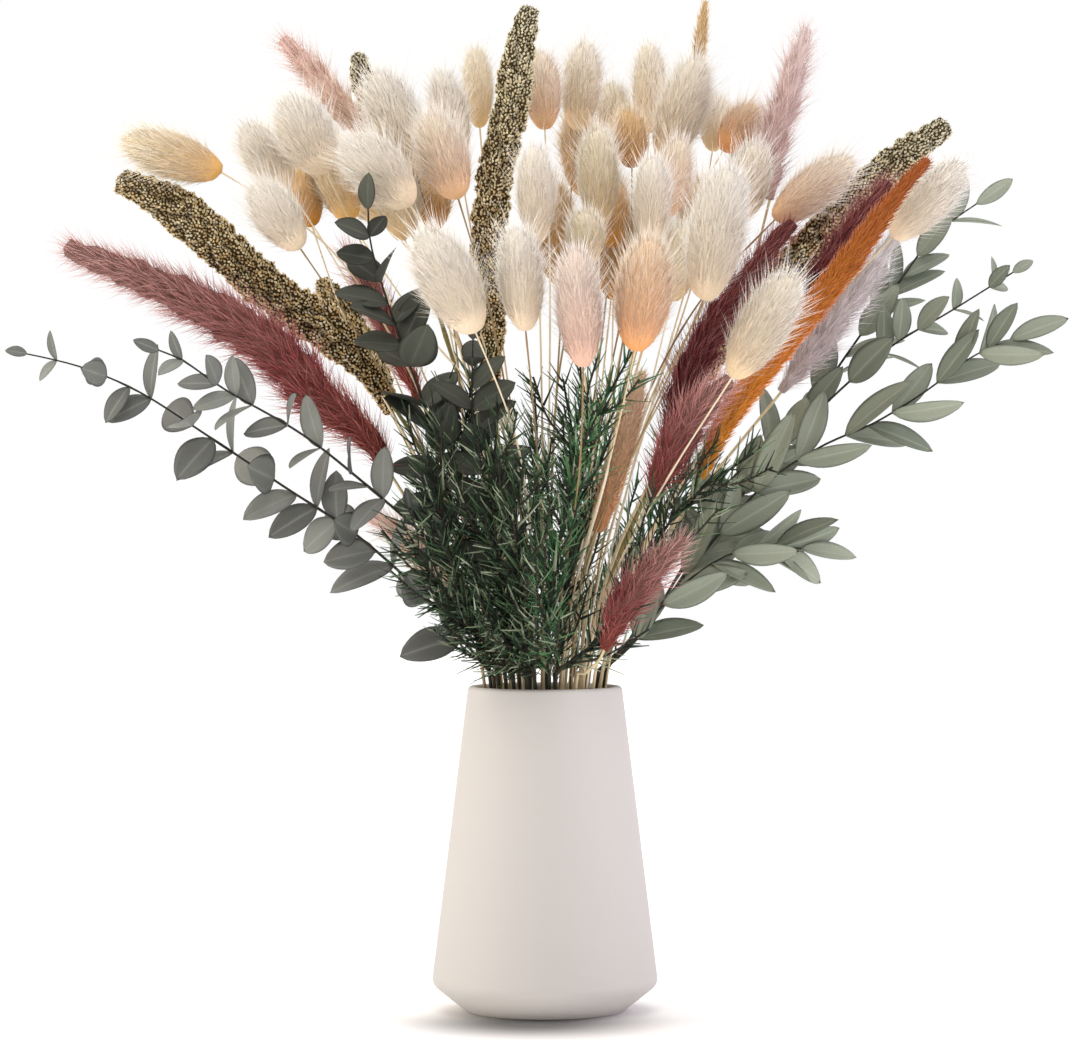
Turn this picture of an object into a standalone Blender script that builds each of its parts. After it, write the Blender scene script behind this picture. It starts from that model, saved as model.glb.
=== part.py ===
# Dried bunny tails, reed plumes, millet and foliage standing in a tapered ceramic vase.
# Metres, +Z up. The origin is the middle of the vase's flat foot; +X runs to the right seen from the front.
import math

import bmesh
import bpy
import numpy as np

mm = 0.001

# Vase: the wall leans out from the rim to a rounded shoulder and slopes in from there to the flat foot
vaseHeight = 180 * mm
rimRadius = 42.6 * mm
shoulderRadius = 62.8 * mm
shoulderHeight = 15 * mm
footRadius = 44 * mm
wallThickness = 5 * mm
floorThickness = 8 * mm
shoulderRounding = 7 * mm
footRounding = 1.2 * mm
rimRounding = 2.2 * mm
vaseSides = 32

# The front view that the places below are read in
viewDistance = 2.5
eyeHeight = 0.31
depthSpread = 1.2

# Stems: they stand this far above the vase's floor, keep this far apart, and stay within these radii in
# its mouth and on its floor. A stem with no other bound to it leans as if it came from the crossing
touchGap = 0.3 * mm
clearGap = 0.9 * mm
mouthRadius = rimRadius - wallThickness - 3.5 * mm
standRadius = 40 * mm
standShare = 0.8
crossingHeight = 100 * mm
fullLean = 0.55
stemPull = 0.9
stemSides = 4
leafySides = 4
thinStem = 0.8 * mm
# A fork leaves its main stem here, and the two may touch below kinHeight
forkHeight = 16 * mm
kinHeight = 48 * mm

# How the stems give way to each other: spacing of the points that are tested, how far a stem may bow,
# rounds, rounds between searches for near pairs and how near those are, and size of each move
stemStep = 75 * mm
headStep = 14 * mm
bowLimit = 14 * mm
settleRounds = 260
searchRounds = 8
searchSlack = 12 * mm
moveShare = 0.8
leastWeight = 0.25
seed = 7

# Each bunny tail: (x, z) of the head's foot and of its tip as they line up from the front, how far back
# it stands, its width, all in mm, and its colour
bunnyTails = [
    ((-180, 465), (-235, 483), -30, 25, "honey"),
    ((-142, 456), (-167, 491), 10, 25, "cream"),
    ((-136, 423), (-161, 458), -45, 25, "cream"),
    ((-122, 465), (-143, 506), -10, 32, "cream"),
    ((-129, 435), (-136, 470), 35, 19, "amber"),
    ((-71, 463), (-94, 521), 20, 31, "cream"),
    ((-75, 447), (-109, 483), -30, 31, "cream"),
    ((-48, 473), (-58, 522), 50, 22, "cream"),
    ((-48, 450), (-64, 496), 0, 28, "peach"),
    ((-36, 490), (-38, 535), 90, 18, "straw"),
    ((-39, 377), (-68, 433), -95, 32, "cream"),
    ((-11, 378), (-16, 435), -90, 24, "cream"),
    ((-4, 427), (-6, 481), -45, 21, "cream"),
    ((0, 489), (-3, 532), 60, 22, "peach"),
    ((18, 489), (23, 537), 75, 23, "beige"),
    ((39, 485), (37, 514), 105, 20, "beige"),
    ((30, 437), (29, 490), 10, 23, "straw"),
    ((21, 358), (16, 424), -105, 24, "rose"),
    ((50, 367), (59, 429), -95, 30, "apricot"),
    ((58, 487), (58, 537), 95, 20, "beige"),
    ((66, 471), (86, 529), 55, 28, "beige"),
    ((68, 441), (75, 484), 5, 20, "peach"),
    ((58, 427), (60, 474), -35, 21, "cream"),
    ((88, 395), (102, 469), -85, 31, "cream"),
    ((99, 477), (117, 502), 60, 22, "apricot"),
    ((93, 477), (96, 508), 90, 18, "beige"),
    ((128, 439), (171, 473), 10, 24, "peach"),
    ((193, 429), (233, 470), -25, 24, "cream"),
    ((104, 352), (138, 408), -95, 27, "beige"),
    ((48, 467), (46, 499), 45, 20, "amber"),
    ((24, 415), (21, 443), -20, 21, "straw"),
    ((-61, 433), (-63, 468), 40, 21, "amber"),
    ((-89, 439), (-117, 465), 60, 22, "straw"),
    ((110, 440), (117, 481), 20, 23, "beige"),
    ((70, 394), (77, 436), -25, 23, "straw"),
    ((37, 424), (38, 463), 40, 20, "amber"),
]
# Bunny tails that fork from the foot of another, to keep one body for each pair: branch, then main stem
forkedTails = {4: 1, 32: 5, 31: 7, 29: 19, 35: 15, 30: 16, 33: 25}

# Long heads: the middle line from foot to tip as seen from the front, depth at foot and tip, width, colour
milletHeads = [
    ([(-89, 343), (-111, 370), (-150, 397), (-178, 422), (-207, 446), (-235, 460)], -5, -20, 26, "grain"),
    ([(-30, 348), (-31, 394), (-31, 432), (-27, 466), (-19, 499), (-15, 527), (-9, 555)], 0, 25, 22, "grain"),
    ([(88, 351), (102, 377), (124, 399), (147, 424), (173, 451), (199, 474), (222, 490)], 20, 45, 22,
     "grain"),
    ([(-81, 455), (-95, 499), (-104, 529)], 75, 95, 17, "grain"),
    ([(-85, 332), (-96, 357), (-109, 383), (-124, 404)], 30, 45, 18, "grain"),
]
reedPlumes = [
    ([(-89, 303), (-99, 319), (-124, 339), (-150, 366), (-183, 387), (-225, 407), (-265, 422)], -30, -60, 34,
     "rosewood"),
    ([(-96, 480), (-111, 499), (-126, 517), (-145, 538)], 45, 60, 21, "blush"),
    ([(125, 450), (128, 484), (136, 512), (145, 545)], 35, 50, 21, "mauve"),
    ([(66, 306), (75, 338), (89, 372), (111, 404), (136, 437)], -5, 5, 25, "burgundy"),
    ([(58, 284), (68, 305), (83, 330), (102, 350)], -55, -75, 25, "rosewood"),
    ([(33, 201), (40, 217), (55, 239), (76, 261)], -45, -70, 21, "rosewood"),
    ([(141, 388), (154, 409), (172, 434), (190, 459)], -5, -5, 20, "burgundy"),
    ([(131, 343), (148, 366), (169, 394), (194, 429)], 40, 50, 22, "pearl"),
    ([(-43, 214), (-58, 239), (-75, 261), (-99, 276)], 20, 35, 20, "blush"),
    ([(-69, 338), (-83, 369), (-96, 397), (-111, 423)], 55, 75, 20, "rosewood"),
]
foxtails = [
    ([(86, 296), (102, 330), (130, 367), (166, 412), (197, 455), (212, 471)], -55, -45, 15, "orange"),
    ([(84, 505), (86, 535), (89, 559)], 115, 120, 7, "orange"),
    ([(29, 266), (36, 289), (46, 322), (54, 354)], -35, -55, 13, "orange"),
]

# Eucalyptus sprigs: middle line above the vase, depth at its two ends, leaf length, width over length, angle
# off the stem in radians, step between pairs, roll of the first pair in degrees, where along the line the
# leaves begin, and size of the last leaves as a share. A fork names the sprig that it leaves at the foot
eucalyptusSprigs = [
    dict(route=[(-42, 201), (-69, 232), (-105, 264), (-147, 292), (-189, 320), (-225, 343), (-258, 357),
                (-287, 364)],
         back=(-28, -75), leaf=34, slim=0.62, lift=1.0, step=25.5, roll=20, start=0.03, tip=0.35),
    dict(route=[(-57, 255), (-95, 288), (-134, 319), (-177, 344), (-200, 360), (-214, 366)],
         back=(-40, -100), leaf=30, slim=0.46, lift=0.9, step=22, roll=60, tip=0.5),
    dict(route=[(-42, 240), (-54, 290), (-68, 338), (-84, 383), (-96, 422), (-98, 444)],
         back=(-18, -48), leaf=33, slim=0.6, lift=0.95, step=23, roll=35, tip=0.6),
    dict(route=[(58, 214), (84, 256), (138, 322), (171, 369), (195, 402), (216, 430), (239, 447)],
         back=(28, 90), leaf=40, slim=0.34, lift=0.5, step=27, roll=10, start=0.2, tip=0.7),
    dict(route=[(62, 222), (116, 286), (152, 312), (183, 326), (212, 344), (236, 362), (258, 372)],
         back=(5, 35), leaf=46, slim=0.33, lift=0.5, step=30, roll=50, start=0.1, tip=0.8),
    dict(route=[(60, 216), (97, 270), (141, 322), (189, 366), (222, 386), (259, 409)],
         back=(22, 60), leaf=36, slim=0.46, lift=0.7, step=25, roll=75, start=0.1, tip=0.4),
    dict(route=[(51, 206), (72, 232), (100, 252), (125, 257), (142, 256)],
         back=(0, 10), leaf=40, slim=0.38, lift=0.6, step=22, roll=30, tip=0.8),
    dict(route=[(-24, 240), (-32, 285), (-40, 330), (-40, 372)],
         back=(-30, -52), leaf=30, slim=0.55, lift=0.95, step=21, roll=0, tip=0.6, fork=2),
]
# Needle foliage: middle line above the vase and depth at its two ends
needleSprigs = [
    ([(-38, 215), (-49, 236), (-58, 283), (-62, 335)], -38, -65),
    ([(-34, 205), (-48, 222), (-64, 244), (-80, 272)], -42, -75),
    ([(-22, 210), (-26, 245), (-29, 289), (-26, 336)], -45, -78),
    ([(-8, 210), (-10, 235), (-4, 283), (-8, 330)], 5, 30),
    ([(2, 215), (6, 250), (20, 311), (48, 365)], -50, -85),
    ([(9, 210), (12, 239), (18, 294), (10, 350)], -20, -40),
    ([(32, 207), (46, 233), (77, 280), (120, 312)], -45, -80),
    ([(26, 208), (37, 228), (62, 272), (86, 318)], 25, 60),
    ([(-20, 212), (-26, 238), (-38, 285), (-46, 335)], 45, 85),
    ([(10, 212), (14, 240), (24, 285), (26, 338)], 50, 90),
    ([(-12, 208), (-14, 230), (-16, 268), (-12, 305)], -48, -85),
    ([(-16, 210), (-28, 240), (-46, 290), (-40, 355)], -10, -25),
]
forkedSprigs = {1: 0, 3: 2, 5: 4, 7: 6, 9: 8, 10: 4, 11: 0}
needleLength = 17 * mm
needleSpacing = 11.8 * mm
leafThickness = 0.9 * mm
# Where a leaf blade turns, as shares of its length, with half its width there as a share of the whole
bladeRows = [(0.30, 0.46), (0.66, 0.44)]

# Bodies of the heads: side count, spacing of the raised rows, depth of the hollows between the raised
# points as a share of the radius, how far the points lean towards the tip, and stem radius
headForms = {
    "bunnyTail": dict(sides=8, rowGap=10 * mm, hollow=0.70, lean=5.0 * mm, stem=1.0 * mm),
    "millet": dict(sides=8, rowGap=9.8 * mm, hollow=0.80, lean=1.5 * mm, stem=1.9 * mm),
    "plume": dict(sides=8, rowGap=12 * mm, hollow=0.42, lean=10 * mm, stem=1.5 * mm),
    "foxtail": dict(sides=6, rowGap=8.5 * mm, hollow=0.60, lean=5 * mm, stem=1.3 * mm),
    "eucalyptus": dict(stem=1.5 * mm),
    "needles": dict(stem=1.3 * mm),
}
coverShare = 0.92
sprigRadius = 2.2 * mm

# What leaves keep clear of: gap to other plants and to their own, how thick a placed blade or needle counts,
# and how far above the lip they stay
leafGap = 1.3 * mm
ownGap = 0.3 * mm
bladeCover = 2.2 * mm
needleCover = 0.9 * mm
coverStep = 3 * mm
lipGap = 5 * mm
# How leaves vary: share of their size, and angle off the stem, which is never less than leastLift. They
# grow smaller from shrinkFrom along the stem
sizeSpread = 0.1
liftSpread = 0.17
leastLift = 0.42
shrinkFrom = 0.65
finePoints = 200
# How leaves grow: turn from one band to the next, which of its sides bear leaves, roll, arch, the share of
# its length that may lie close to its own stem, band height, and the ways tried to stay clear, as turned
# aside, grown by and lifted further
leafForms = {
    "eucalyptus": dict(
        turn=0, faces=lambda k: (k % 2, k % 2 + 2), roll=0.3, arch=0.10, free=0.12, band=2.4 * mm,
        tries=[(turn, grow, rise) for grow in (1, 0.82, 0.66) for rise in (0, -0.2, 0.3)
               for turn in (0, 0.28, -0.28)]),
    "needles": dict(
        turn=math.pi / 4, faces=lambda k: (0, 1, 2, 3), roll=0, arch=0, free=0.32, band=2.0 * mm,
        tries=[(turn, grow, rise) for grow in (1, 0.7) for rise in (0, -0.25) for turn in (0, 0.35, -0.35)]),
}

# Colours as seen, red, green, blue from 0 to 255
tints = {
    "ceramic": (236, 233, 228),
    "honey": (216, 196, 150),
    "cream": (226, 214, 192),
    "amber": (190, 135, 62),
    "peach": (224, 190, 160),
    "straw": (208, 190, 150),
    "beige": (216, 198, 172),
    "rose": (222, 190, 172),
    "apricot": (226, 172, 128),
    "grain": (140, 118, 78),
    "rosewood": (158, 88, 90),
    "blush": (206, 160, 142),
    "mauve": (172, 145, 152),
    "burgundy": (96, 48, 54),
    "pearl": (214, 198, 200),
    "orange": (204, 124, 58),
    "eucalyptus": (104, 112, 100),
    "needles": (44, 66, 48),
}


def unit(v):
    return v / np.maximum(np.linalg.norm(v, axis=-1, keepdims=True), 1e-12)


def fromFront(x, z, back):
    # A thing set back by this much stands further out along the line of sight that it is seen on
    grow = 1 + back / viewDistance
    return np.array([x * grow, back, eyeHeight + (z - eyeHeight) * grow])


def throughPoints(points, count):
    # A smooth curve through the points, as count points evenly spaced along it
    points = np.asarray(points, float)
    ends = np.vstack([2 * points[0] - points[1], points, 2 * points[-1] - points[-2]])
    fine = []
    for a, b, c, d in zip(ends[:-3], ends[1:-2], ends[2:-1], ends[3:]):
        t = np.linspace(0, 1, 12, endpoint=False)[:, None]
        fine.append(0.5 * (2 * b + (c - a) * t + (2 * a - 5 * b + 4 * c - d) * t ** 2
                           + (3 * b - a - 3 * c + d) * t ** 3))
    fine = np.vstack(fine + [points[-1:]])
    along = np.concatenate([[0], np.cumsum(np.linalg.norm(np.diff(fine, axis=0), axis=1))])
    at = np.linspace(0, along[-1], count)
    return np.stack([np.interp(at, along, fine[:, k]) for k in range(3)], axis=1)


def lineLength(points):
    return float(np.linalg.norm(np.diff(points, axis=0), axis=1).sum())


def makePlant(kind, name, route, depths, width, tint, **more):
    # The route is read from the front; depth runs evenly from its foot to its tip
    route = np.asarray(route, float) * mm
    steps = np.concatenate([[0], np.cumsum(np.linalg.norm(np.diff(route, axis=0), axis=1))])
    back = np.interp(steps, [0, steps[-1]], np.asarray(depths) * mm * depthSpread)
    line = np.array([fromFront(x, z, y) for (x, z), y in zip(route, back)])
    if len(line) == 2:
        line = np.array([line[0], line.mean(axis=0), line[1]])
    return dict(kind=kind, name=name, line=line, width=width * mm, tint=tint,
                stem=headForms[kind]["stem"], **more)


def headRadius(kind, share, width):
    # Outer radius at a share of the way from the head's foot to its tip
    share = np.clip(share, 0, 1)
    if kind == "bunnyTail":
        return width / 2 * np.maximum(np.sin(np.pi * share ** 0.82), 0) ** 0.55
    if kind == "millet":
        return width / 2 * np.clip(np.minimum(0.45 + 2.6 * share, 0.55 + 2.4 * (1 - share)), 0, 1)
    if kind == "plume":
        return width / 2 * np.clip(np.minimum(0.35 + 2.2 * share, 0.45 + 1.3 * (1 - share)), 0, 1)
    if kind == "foxtail":
        return width / 2 * np.clip(np.minimum(0.5 + 2.5 * share, 0.4 + 1.8 * (1 - share)), 0, 1)
    return np.full_like(share, sprigRadius)


def gatherPlants():
    plants = []
    for n, (foot, tip, back, width, tint) in enumerate(bunnyTails):
        plants.append(makePlant("bunnyTail", f"bunny_tail_{n + 1:02d}", [foot, tip], (back, back * 1.12),
                                width, tint, forkOf=forkedTails.get(n)))
    for kind, label, rows in (("millet", "millet", milletHeads), ("plume", "reed_plume", reedPlumes),
                              ("foxtail", "foxtail", foxtails)):
        for n, (route, near, far, width, tint) in enumerate(rows):
            plants.append(makePlant(kind, f"{label}_{n + 1}", route, (near, far), width, tint, forkOf=None))
    first = len(plants)
    for n, sprig in enumerate(eucalyptusSprigs):
        fork = sprig.get("fork")
        plants.append(makePlant("eucalyptus", f"eucalyptus_{n + 1}", sprig["route"], sprig["back"], 4,
                                "eucalyptus", forkOf=None if fork is None else first + fork,
                                leaf=sprig["leaf"] * mm, slim=sprig["slim"], lift=sprig["lift"],
                                step=sprig["step"] * mm, start=sprig.get("start", 0.0),
                                roll=math.radians(sprig["roll"]), tip=sprig["tip"]))
    first = len(plants)
    for n, (route, near, far) in enumerate(needleSprigs):
        main = forkedSprigs.get(n)
        plants.append(makePlant("needles", f"needle_foliage_{n + 1}", route, (near, far), 4, "needles",
                                forkOf=None if main is None else first + main, leaf=needleLength, slim=0.1,
                                lift=0.75, step=needleSpacing, start=0.02, roll=0.0, tip=0.7))
    return plants


def closestPoints(a, b, c, d):
    # Shares along segments a-b and c-d of their nearest points, for many pairs at once
    u, v, w = b - a, d - c, a - c
    uu, uv, vv = (u * u).sum(1), (u * v).sum(1), (v * v).sum(1)
    uw, vw = (u * w).sum(1), (v * w).sum(1)
    room = np.maximum(uu * vv - uv * uv, 1e-18)
    s = np.clip((uv * vw - vv * uw) / room, 0, 1)
    t = np.clip((uv * s + vw) / np.maximum(vv, 1e-18), 0, 1)
    s = np.clip((uv * t - uw) / np.maximum(uu, 1e-18), 0, 1)
    return s, t


def stemRows(plant):
    # One plant's points from its foot to its tip. Each row says how far the point moves with the foot, the
    # mouth, the bow and the head; what stays fixed and how thick the plant is there come with it
    head = throughPoints(plant["line"], max(4, int(math.ceil(lineLength(plant["line"]) / headStep)) + 1))
    base, aim = head[0], unit(head[1] - head[0])
    lean = base[:2] / (base[2] - crossingHeight)
    plant["mouth"] = mouthRadius * unit(lean) * min(1, np.linalg.norm(lean) / fullLean)
    plant["foot"] = plant["mouth"] * standShare
    start = floorThickness + touchGap if plant["forkOf"] is None else forkHeight
    rise = vaseHeight - start
    rows, fixed, thick = [], [], []
    for share in (0, 0.5):
        rows.append([1 - share, share, 0, 0])
        fixed.append([0, 0, start + rise * share])
        thick.append(plant["stem"])
    # From the mouth to the head runs one cubic curve, which leaves the mouth along the stem inside
    chord = np.linalg.norm(base - np.array([*plant["mouth"], vaseHeight]))
    pull = stemPull * chord
    above = max(3, int(round(chord / stemStep)))
    for k in range(above):
        t = k / above
        fromMouth, alongMouth = 2 * t ** 3 - 3 * t ** 2 + 1, t ** 3 - 2 * t ** 2 + t
        toHead, alongHead = -2 * t ** 3 + 3 * t ** 2, t ** 3 - t ** 2
        up = pull * alongMouth / rise
        rows.append([-up, fromMouth + up, math.sin(math.pi * t) ** 2, toHead])
        flat = toHead * base[:2] + alongHead * pull * aim[:2]
        height = fromMouth * vaseHeight + up * rise + toHead * base[2] + alongHead * pull * aim[2]
        fixed.append([*flat, height])
        thick.append(plant["stem"])
    plant["headStart"] = len(rows)
    # A head counts as a little blunter than it is at its ends
    shares = np.clip(np.linspace(0, 1, len(head)), 0.06, 0.94)
    for point, cover in zip(head, headRadius(plant["kind"], shares, plant["width"]) * coverShare):
        rows.append([0, 0, 0, 1])
        fixed.append(point)
        thick.append(max(cover, plant["stem"]))
    return rows, fixed, thick


def settleStems(plants):
    # Stems stand on the vase's floor, lean in its mouth and bow aside or stand further forward or back
    # until no plant crosses another. Each point of a stem moves with its foot, mouth, bow and head
    count = len(plants)
    made = [stemRows(plant) for plant in plants]
    owner = np.repeat(np.arange(count), [len(rows) for rows, _, _ in made])
    weights, fixed, radii = (np.concatenate([np.array(m[k]) for m in made]) for k in range(3))
    standOn = np.array([n if p["forkOf"] is None else p["forkOf"] for n, p in enumerate(plants)])
    feet, mouths = (np.array([p[end] for p in plants]) for end in ("foot", "mouth"))
    bows, backs = np.zeros((count, 2)), np.zeros(count)
    first = np.flatnonzero(owner[:-1] == owner[1:])
    ones, twos = np.triu_indices(len(first), 1)
    apart = owner[first[ones]] != owner[first[twos]]
    ones, twos = ones[apart], twos[apart]
    thickness = np.maximum(radii[first], radii[first + 1])
    kin = standOn[owner[first[ones]]] == standOn[owner[first[twos]]]
    need = thickness[ones] + thickness[twos] + clearGap

    def places():
        flat = (weights[:, :1] * feet[standOn[owner]] + weights[:, 1:2] * mouths[owner]
                + weights[:, 2:3] * bows[owner])
        back = weights[:, 3] * backs[owner]
        return fixed + np.stack([flat[:, 0], flat[:, 1] + back, np.zeros(len(owner))], axis=1)

    for turn in range(settleRounds):
        points = places()
        a, b = points[first], points[first + 1]
        if turn % searchRounds == 0:
            middle, half = (a + b) / 2, np.linalg.norm(b - a, axis=1) / 2
            between = np.linalg.norm(middle[ones] - middle[twos], axis=1)
            near = between < half[ones] + half[twos] + need + searchSlack
            near &= ~(kin & (np.minimum(middle[ones, 2], middle[twos, 2]) < kinHeight))
            nearOnes, nearTwos, nearNeed = ones[near], twos[near], need[near]
        s, t = closestPoints(a[nearOnes], b[nearOnes], a[nearTwos], b[nearTwos])
        between = ((a[nearOnes] + (b[nearOnes] - a[nearOnes]) * s[:, None])
                   - (a[nearTwos] + (b[nearTwos] - a[nearTwos]) * t[:, None]))
        short = np.maximum(nearNeed - np.linalg.norm(between, axis=1), 0)
        hit = short > 0
        if not hit.any() and turn % searchRounds:
            break
        # Each of the two gives way by half, and mostly level
        away = between[hit] * [1, 1, 0.3]
        away[np.linalg.norm(away[:, :2], axis=1) < 1e-6, 1] = 1e-3
        shove = unit(away) * short[hit][:, None] * 0.5
        push = np.zeros_like(points)
        for piece, share, way in ((nearOnes[hit], s[hit], shove), (nearTwos[hit], t[hit], -shove)):
            np.add.at(push, first[piece], way * (1 - share)[:, None])
            np.add.at(push, first[piece] + 1, way * share[:, None])
        # Each way of giving moves by the mean of the shoves on it, weighed by how far it carries them
        touched = (np.abs(push).sum(1) > 0)[:, None] * weights
        for column, mover, target in ((0, standOn[owner], feet), (1, owner, mouths), (2, owner, bows)):
            total, weight = np.zeros_like(target), np.zeros(count)
            np.add.at(total, mover, touched[:, column:column + 1] * push[:, :2])
            np.add.at(weight, mover, touched[:, column] ** 2)
            target += total / np.maximum(weight, leastWeight)[:, None] * moveShare
        total, weight = np.zeros(count), np.zeros(count)
        np.add.at(total, owner, touched[:, 3] * push[:, 1])
        np.add.at(weight, owner, touched[:, 3] ** 2)
        backs += total / np.maximum(weight, leastWeight)
        for target, limit in ((mouths, mouthRadius), (feet, standRadius), (bows, bowLimit)):
            far = np.linalg.norm(target, axis=1)
            target *= np.minimum(1, limit / np.maximum(far, 1e-9))[:, None]
    # To a micrometre, so that every machine goes on from the same places
    points = np.round(places(), 6)
    for n, plant in enumerate(plants):
        plant["spine"], plant["thick"] = points[owner == n], radii[owner == n]
    for plant in plants:
        if plant["forkOf"] is not None:
            main = plants[plant["forkOf"]]["spine"]
            share = (forkHeight - main[0, 2]) / (main[1, 2] - main[0, 2])
            plant["spine"][0] = main[0] + (main[1] - main[0]) * share


def frameAlong(points):
    # Tangents and two crosswise directions that turn as little as possible along the points
    steps = unit(np.diff(points, axis=0))
    tangents = unit(np.vstack([steps[:1], steps[:-1] + steps[1:], steps[-1:]]))
    side = unit(np.cross(tangents[0], [0.0, 1.0, 0.05]))
    sides = []
    for tangent in tangents:
        side = unit(side - tangent * (side @ tangent))
        sides.append(side)
    sides = np.array(sides)
    return tangents, sides, np.cross(tangents, sides)


def leafyLine(plant):
    # The part of a stem that bears leaves, finely divided, with its frames carried up from the foot
    spine, start = plant["spine"], plant["headStart"]
    fine = throughPoints(spine[start:], finePoints)
    frames = frameAlong(np.vstack([spine[:start], fine]))
    return fine, *(f[start:] for f in frames)


class Obstacles:
    # What a new leaf has to stay clear of: points along every stem and head and over every placed leaf,
    # each with a radius and the number of its plant
    def __init__(self, plants):
        points, radii, owners = [], [], []
        for n, plant in enumerate(plants):
            for a, b, r in zip(plant["spine"][:-1], plant["spine"][1:],
                               np.maximum(plant["thick"][:-1], plant["thick"][1:])):
                steps = np.arange(0, 1, coverStep / np.linalg.norm(b - a))[:, None]
                points.append(a + (b - a) * steps)
                radii.append(np.full(len(steps), r))
                owners.append(np.full(len(steps), n))
        self.points, self.radii, self.owners = (np.concatenate(x) for x in (points, radii, owners))

    def clear(self, leaf, family):
        # Near its root a leaf may touch its own plant, and only there
        tip = bladePoint(leaf, 1, 0)
        if min(tip[2], bladePoint(leaf, 0.5, 0)[2]) < vaseHeight + lipGap:
            return False
        middle, outer = (leaf["root"] + tip) / 2, (leaf["length"] + leaf["width"]) / 2
        near = np.linalg.norm(self.points - middle, axis=1) < outer + self.radii + leafGap
        own = np.isin(self.owners[near], family)
        rel, gap = self.points[near] - leaf["root"], self.radii[near] + np.where(own, ownGap, leafGap)
        along = rel @ leaf["axis"] / leaf["length"]
        across = np.abs(rel @ leaf["across"])
        height = np.abs(rel @ leaf["up"] + leaf["arch"] * leaf["length"] * np.clip(along, 0, 1) ** 2)
        (low, lowHalf), (high, highHalf) = bladeRows
        half = np.interp(along, [0, low, high, 1], [0.1, lowHalf, highHalf, 0]) * leaf["width"]
        inside = (along > np.where(own, leaf["free"], 0)) & (along < 1 + gap / leaf["length"])
        return not (inside & (across < half + gap) & (height < leafThickness / 2 + gap)).any()

    def add(self, leaf, owner, broad):
        across, cover = ((-0.42, -0.14, 0.14, 0.42), bladeCover) if broad else ((0,), needleCover)
        grid = [bladePoint(leaf, along, side) for along in np.linspace(0.2, 0.95, 8) for side in across]
        self.points = np.vstack([self.points, grid])
        self.radii = np.concatenate([self.radii, np.full(len(grid), cover)])
        self.owners = np.concatenate([self.owners, np.full(len(grid), owner)])


def bladePoint(leaf, along, across):
    # A point on a leaf's middle sheet: it arches back along its length
    length, width = leaf["length"], leaf["width"]
    rise = leaf["arch"] * length * along ** 2
    return (leaf["root"] + leaf["axis"] * (along * length) + leaf["across"] * (across * width)
            - leaf["up"] * rise)


def turned(v, axis, angle):
    return (v * math.cos(angle) + np.cross(axis, v) * math.sin(angle)
            + axis * (axis @ v) * (1 - math.cos(angle)))


def leafAt(root, tangent, outward, lift, length, width, roll, form):
    axis = unit(tangent * math.cos(lift) + outward * math.sin(lift))
    up = unit(tangent * math.sin(lift) - outward * math.cos(lift))
    up = turned(up, axis, roll)
    return dict(root=root, axis=axis, up=up, across=np.cross(axis, up), length=length, width=width,
                arch=form["arch"], free=form["free"])


def growLeaves(plants, obstacles, rng):
    # Each stem gets bands at even steps. The band's four sides face four ways, and a leaf grows from some
    # of them: two opposite ones on eucalyptus, a quarter turn on at each band, and all four on needles
    for n, plant in enumerate(plants):
        if plant["kind"] not in leafForms:
            continue
        form = leafForms[plant["kind"]]
        family = [m for m, p in enumerate(plants) if m == n or p["forkOf"] == n or plant["forkOf"] == m]
        fine, tangents, sides, others = leafyLine(plant)
        start = plant["start"]
        count = max(2, int(round(lineLength(fine) * (1 - start) / plant["step"])))
        plant["bands"] = []
        for k in range(count):
            share = start + (1 - start) * k / (count - 0.4)
            at = min(int(share * (finePoints - 1)), finePoints - 2)
            band = dict(at=at, spin=plant["roll"] + k * form["turn"], leaves={})
            for face in form["faces"](k):
                size = plant["leaf"] * rng.uniform(1 - sizeSpread, 1 + sizeSpread)
                size *= np.interp(share, [shrinkFrom, 1], [1, plant["tip"]])
                width = size * plant["slim"] * rng.uniform(1 - sizeSpread, 1 + sizeSpread)
                lift = plant["lift"] + rng.uniform(-liftSpread, liftSpread)
                roll = rng.uniform(-form["roll"], form["roll"])
                for turn, grow, rise in form["tries"]:
                    angle = band["spin"] + face * math.pi / 2 + turn
                    outward = sides[at] * math.cos(angle) + others[at] * math.sin(angle)
                    leaf = leafAt(fine[at], tangents[at], outward, max(lift + rise, leastLift), size * grow,
                                  width * grow, roll, form)
                    if obstacles.clear(leaf, family):
                        band["leaves"][face] = leaf
                        obstacles.add(leaf, n, plant["kind"] == "eucalyptus")
                        break
            plant["bands"].append(band)
        spin = plant["bands"][-1]["spin"]
        outward = sides[-1] * math.cos(spin) + others[-1] * math.sin(spin)
        for grow in (1, 0.7, 0.4):
            size = plant["leaf"] * plant["tip"] * grow
            plant["tipLeaf"] = leafAt(fine[-1], tangents[-1], outward, 0, size, size * plant["slim"], 0, form)
            if obstacles.clear(plant["tipLeaf"], family):
                break


def planBouquet():
    plants = gatherPlants()
    settleStems(plants)
    growLeaves(plants, Obstacles(plants), np.random.default_rng(seed))
    return plants


def linear(colour):
    return [((c / 255 + 0.055) / 1.055) ** 2.4 if c > 10 else c / 255 / 12.92 for c in colour] + [1]


def makeMaterial(name, roughness):
    material = bpy.data.materials.get(name) or bpy.data.materials.new(name)
    material.use_nodes = True
    shader = material.node_tree.nodes["Principled BSDF"]
    shader.inputs["Base Color"].default_value = linear(tints[name])
    shader.inputs["Roughness"].default_value = roughness
    shader.inputs["Metallic"].default_value = 0.0
    return material


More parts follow.
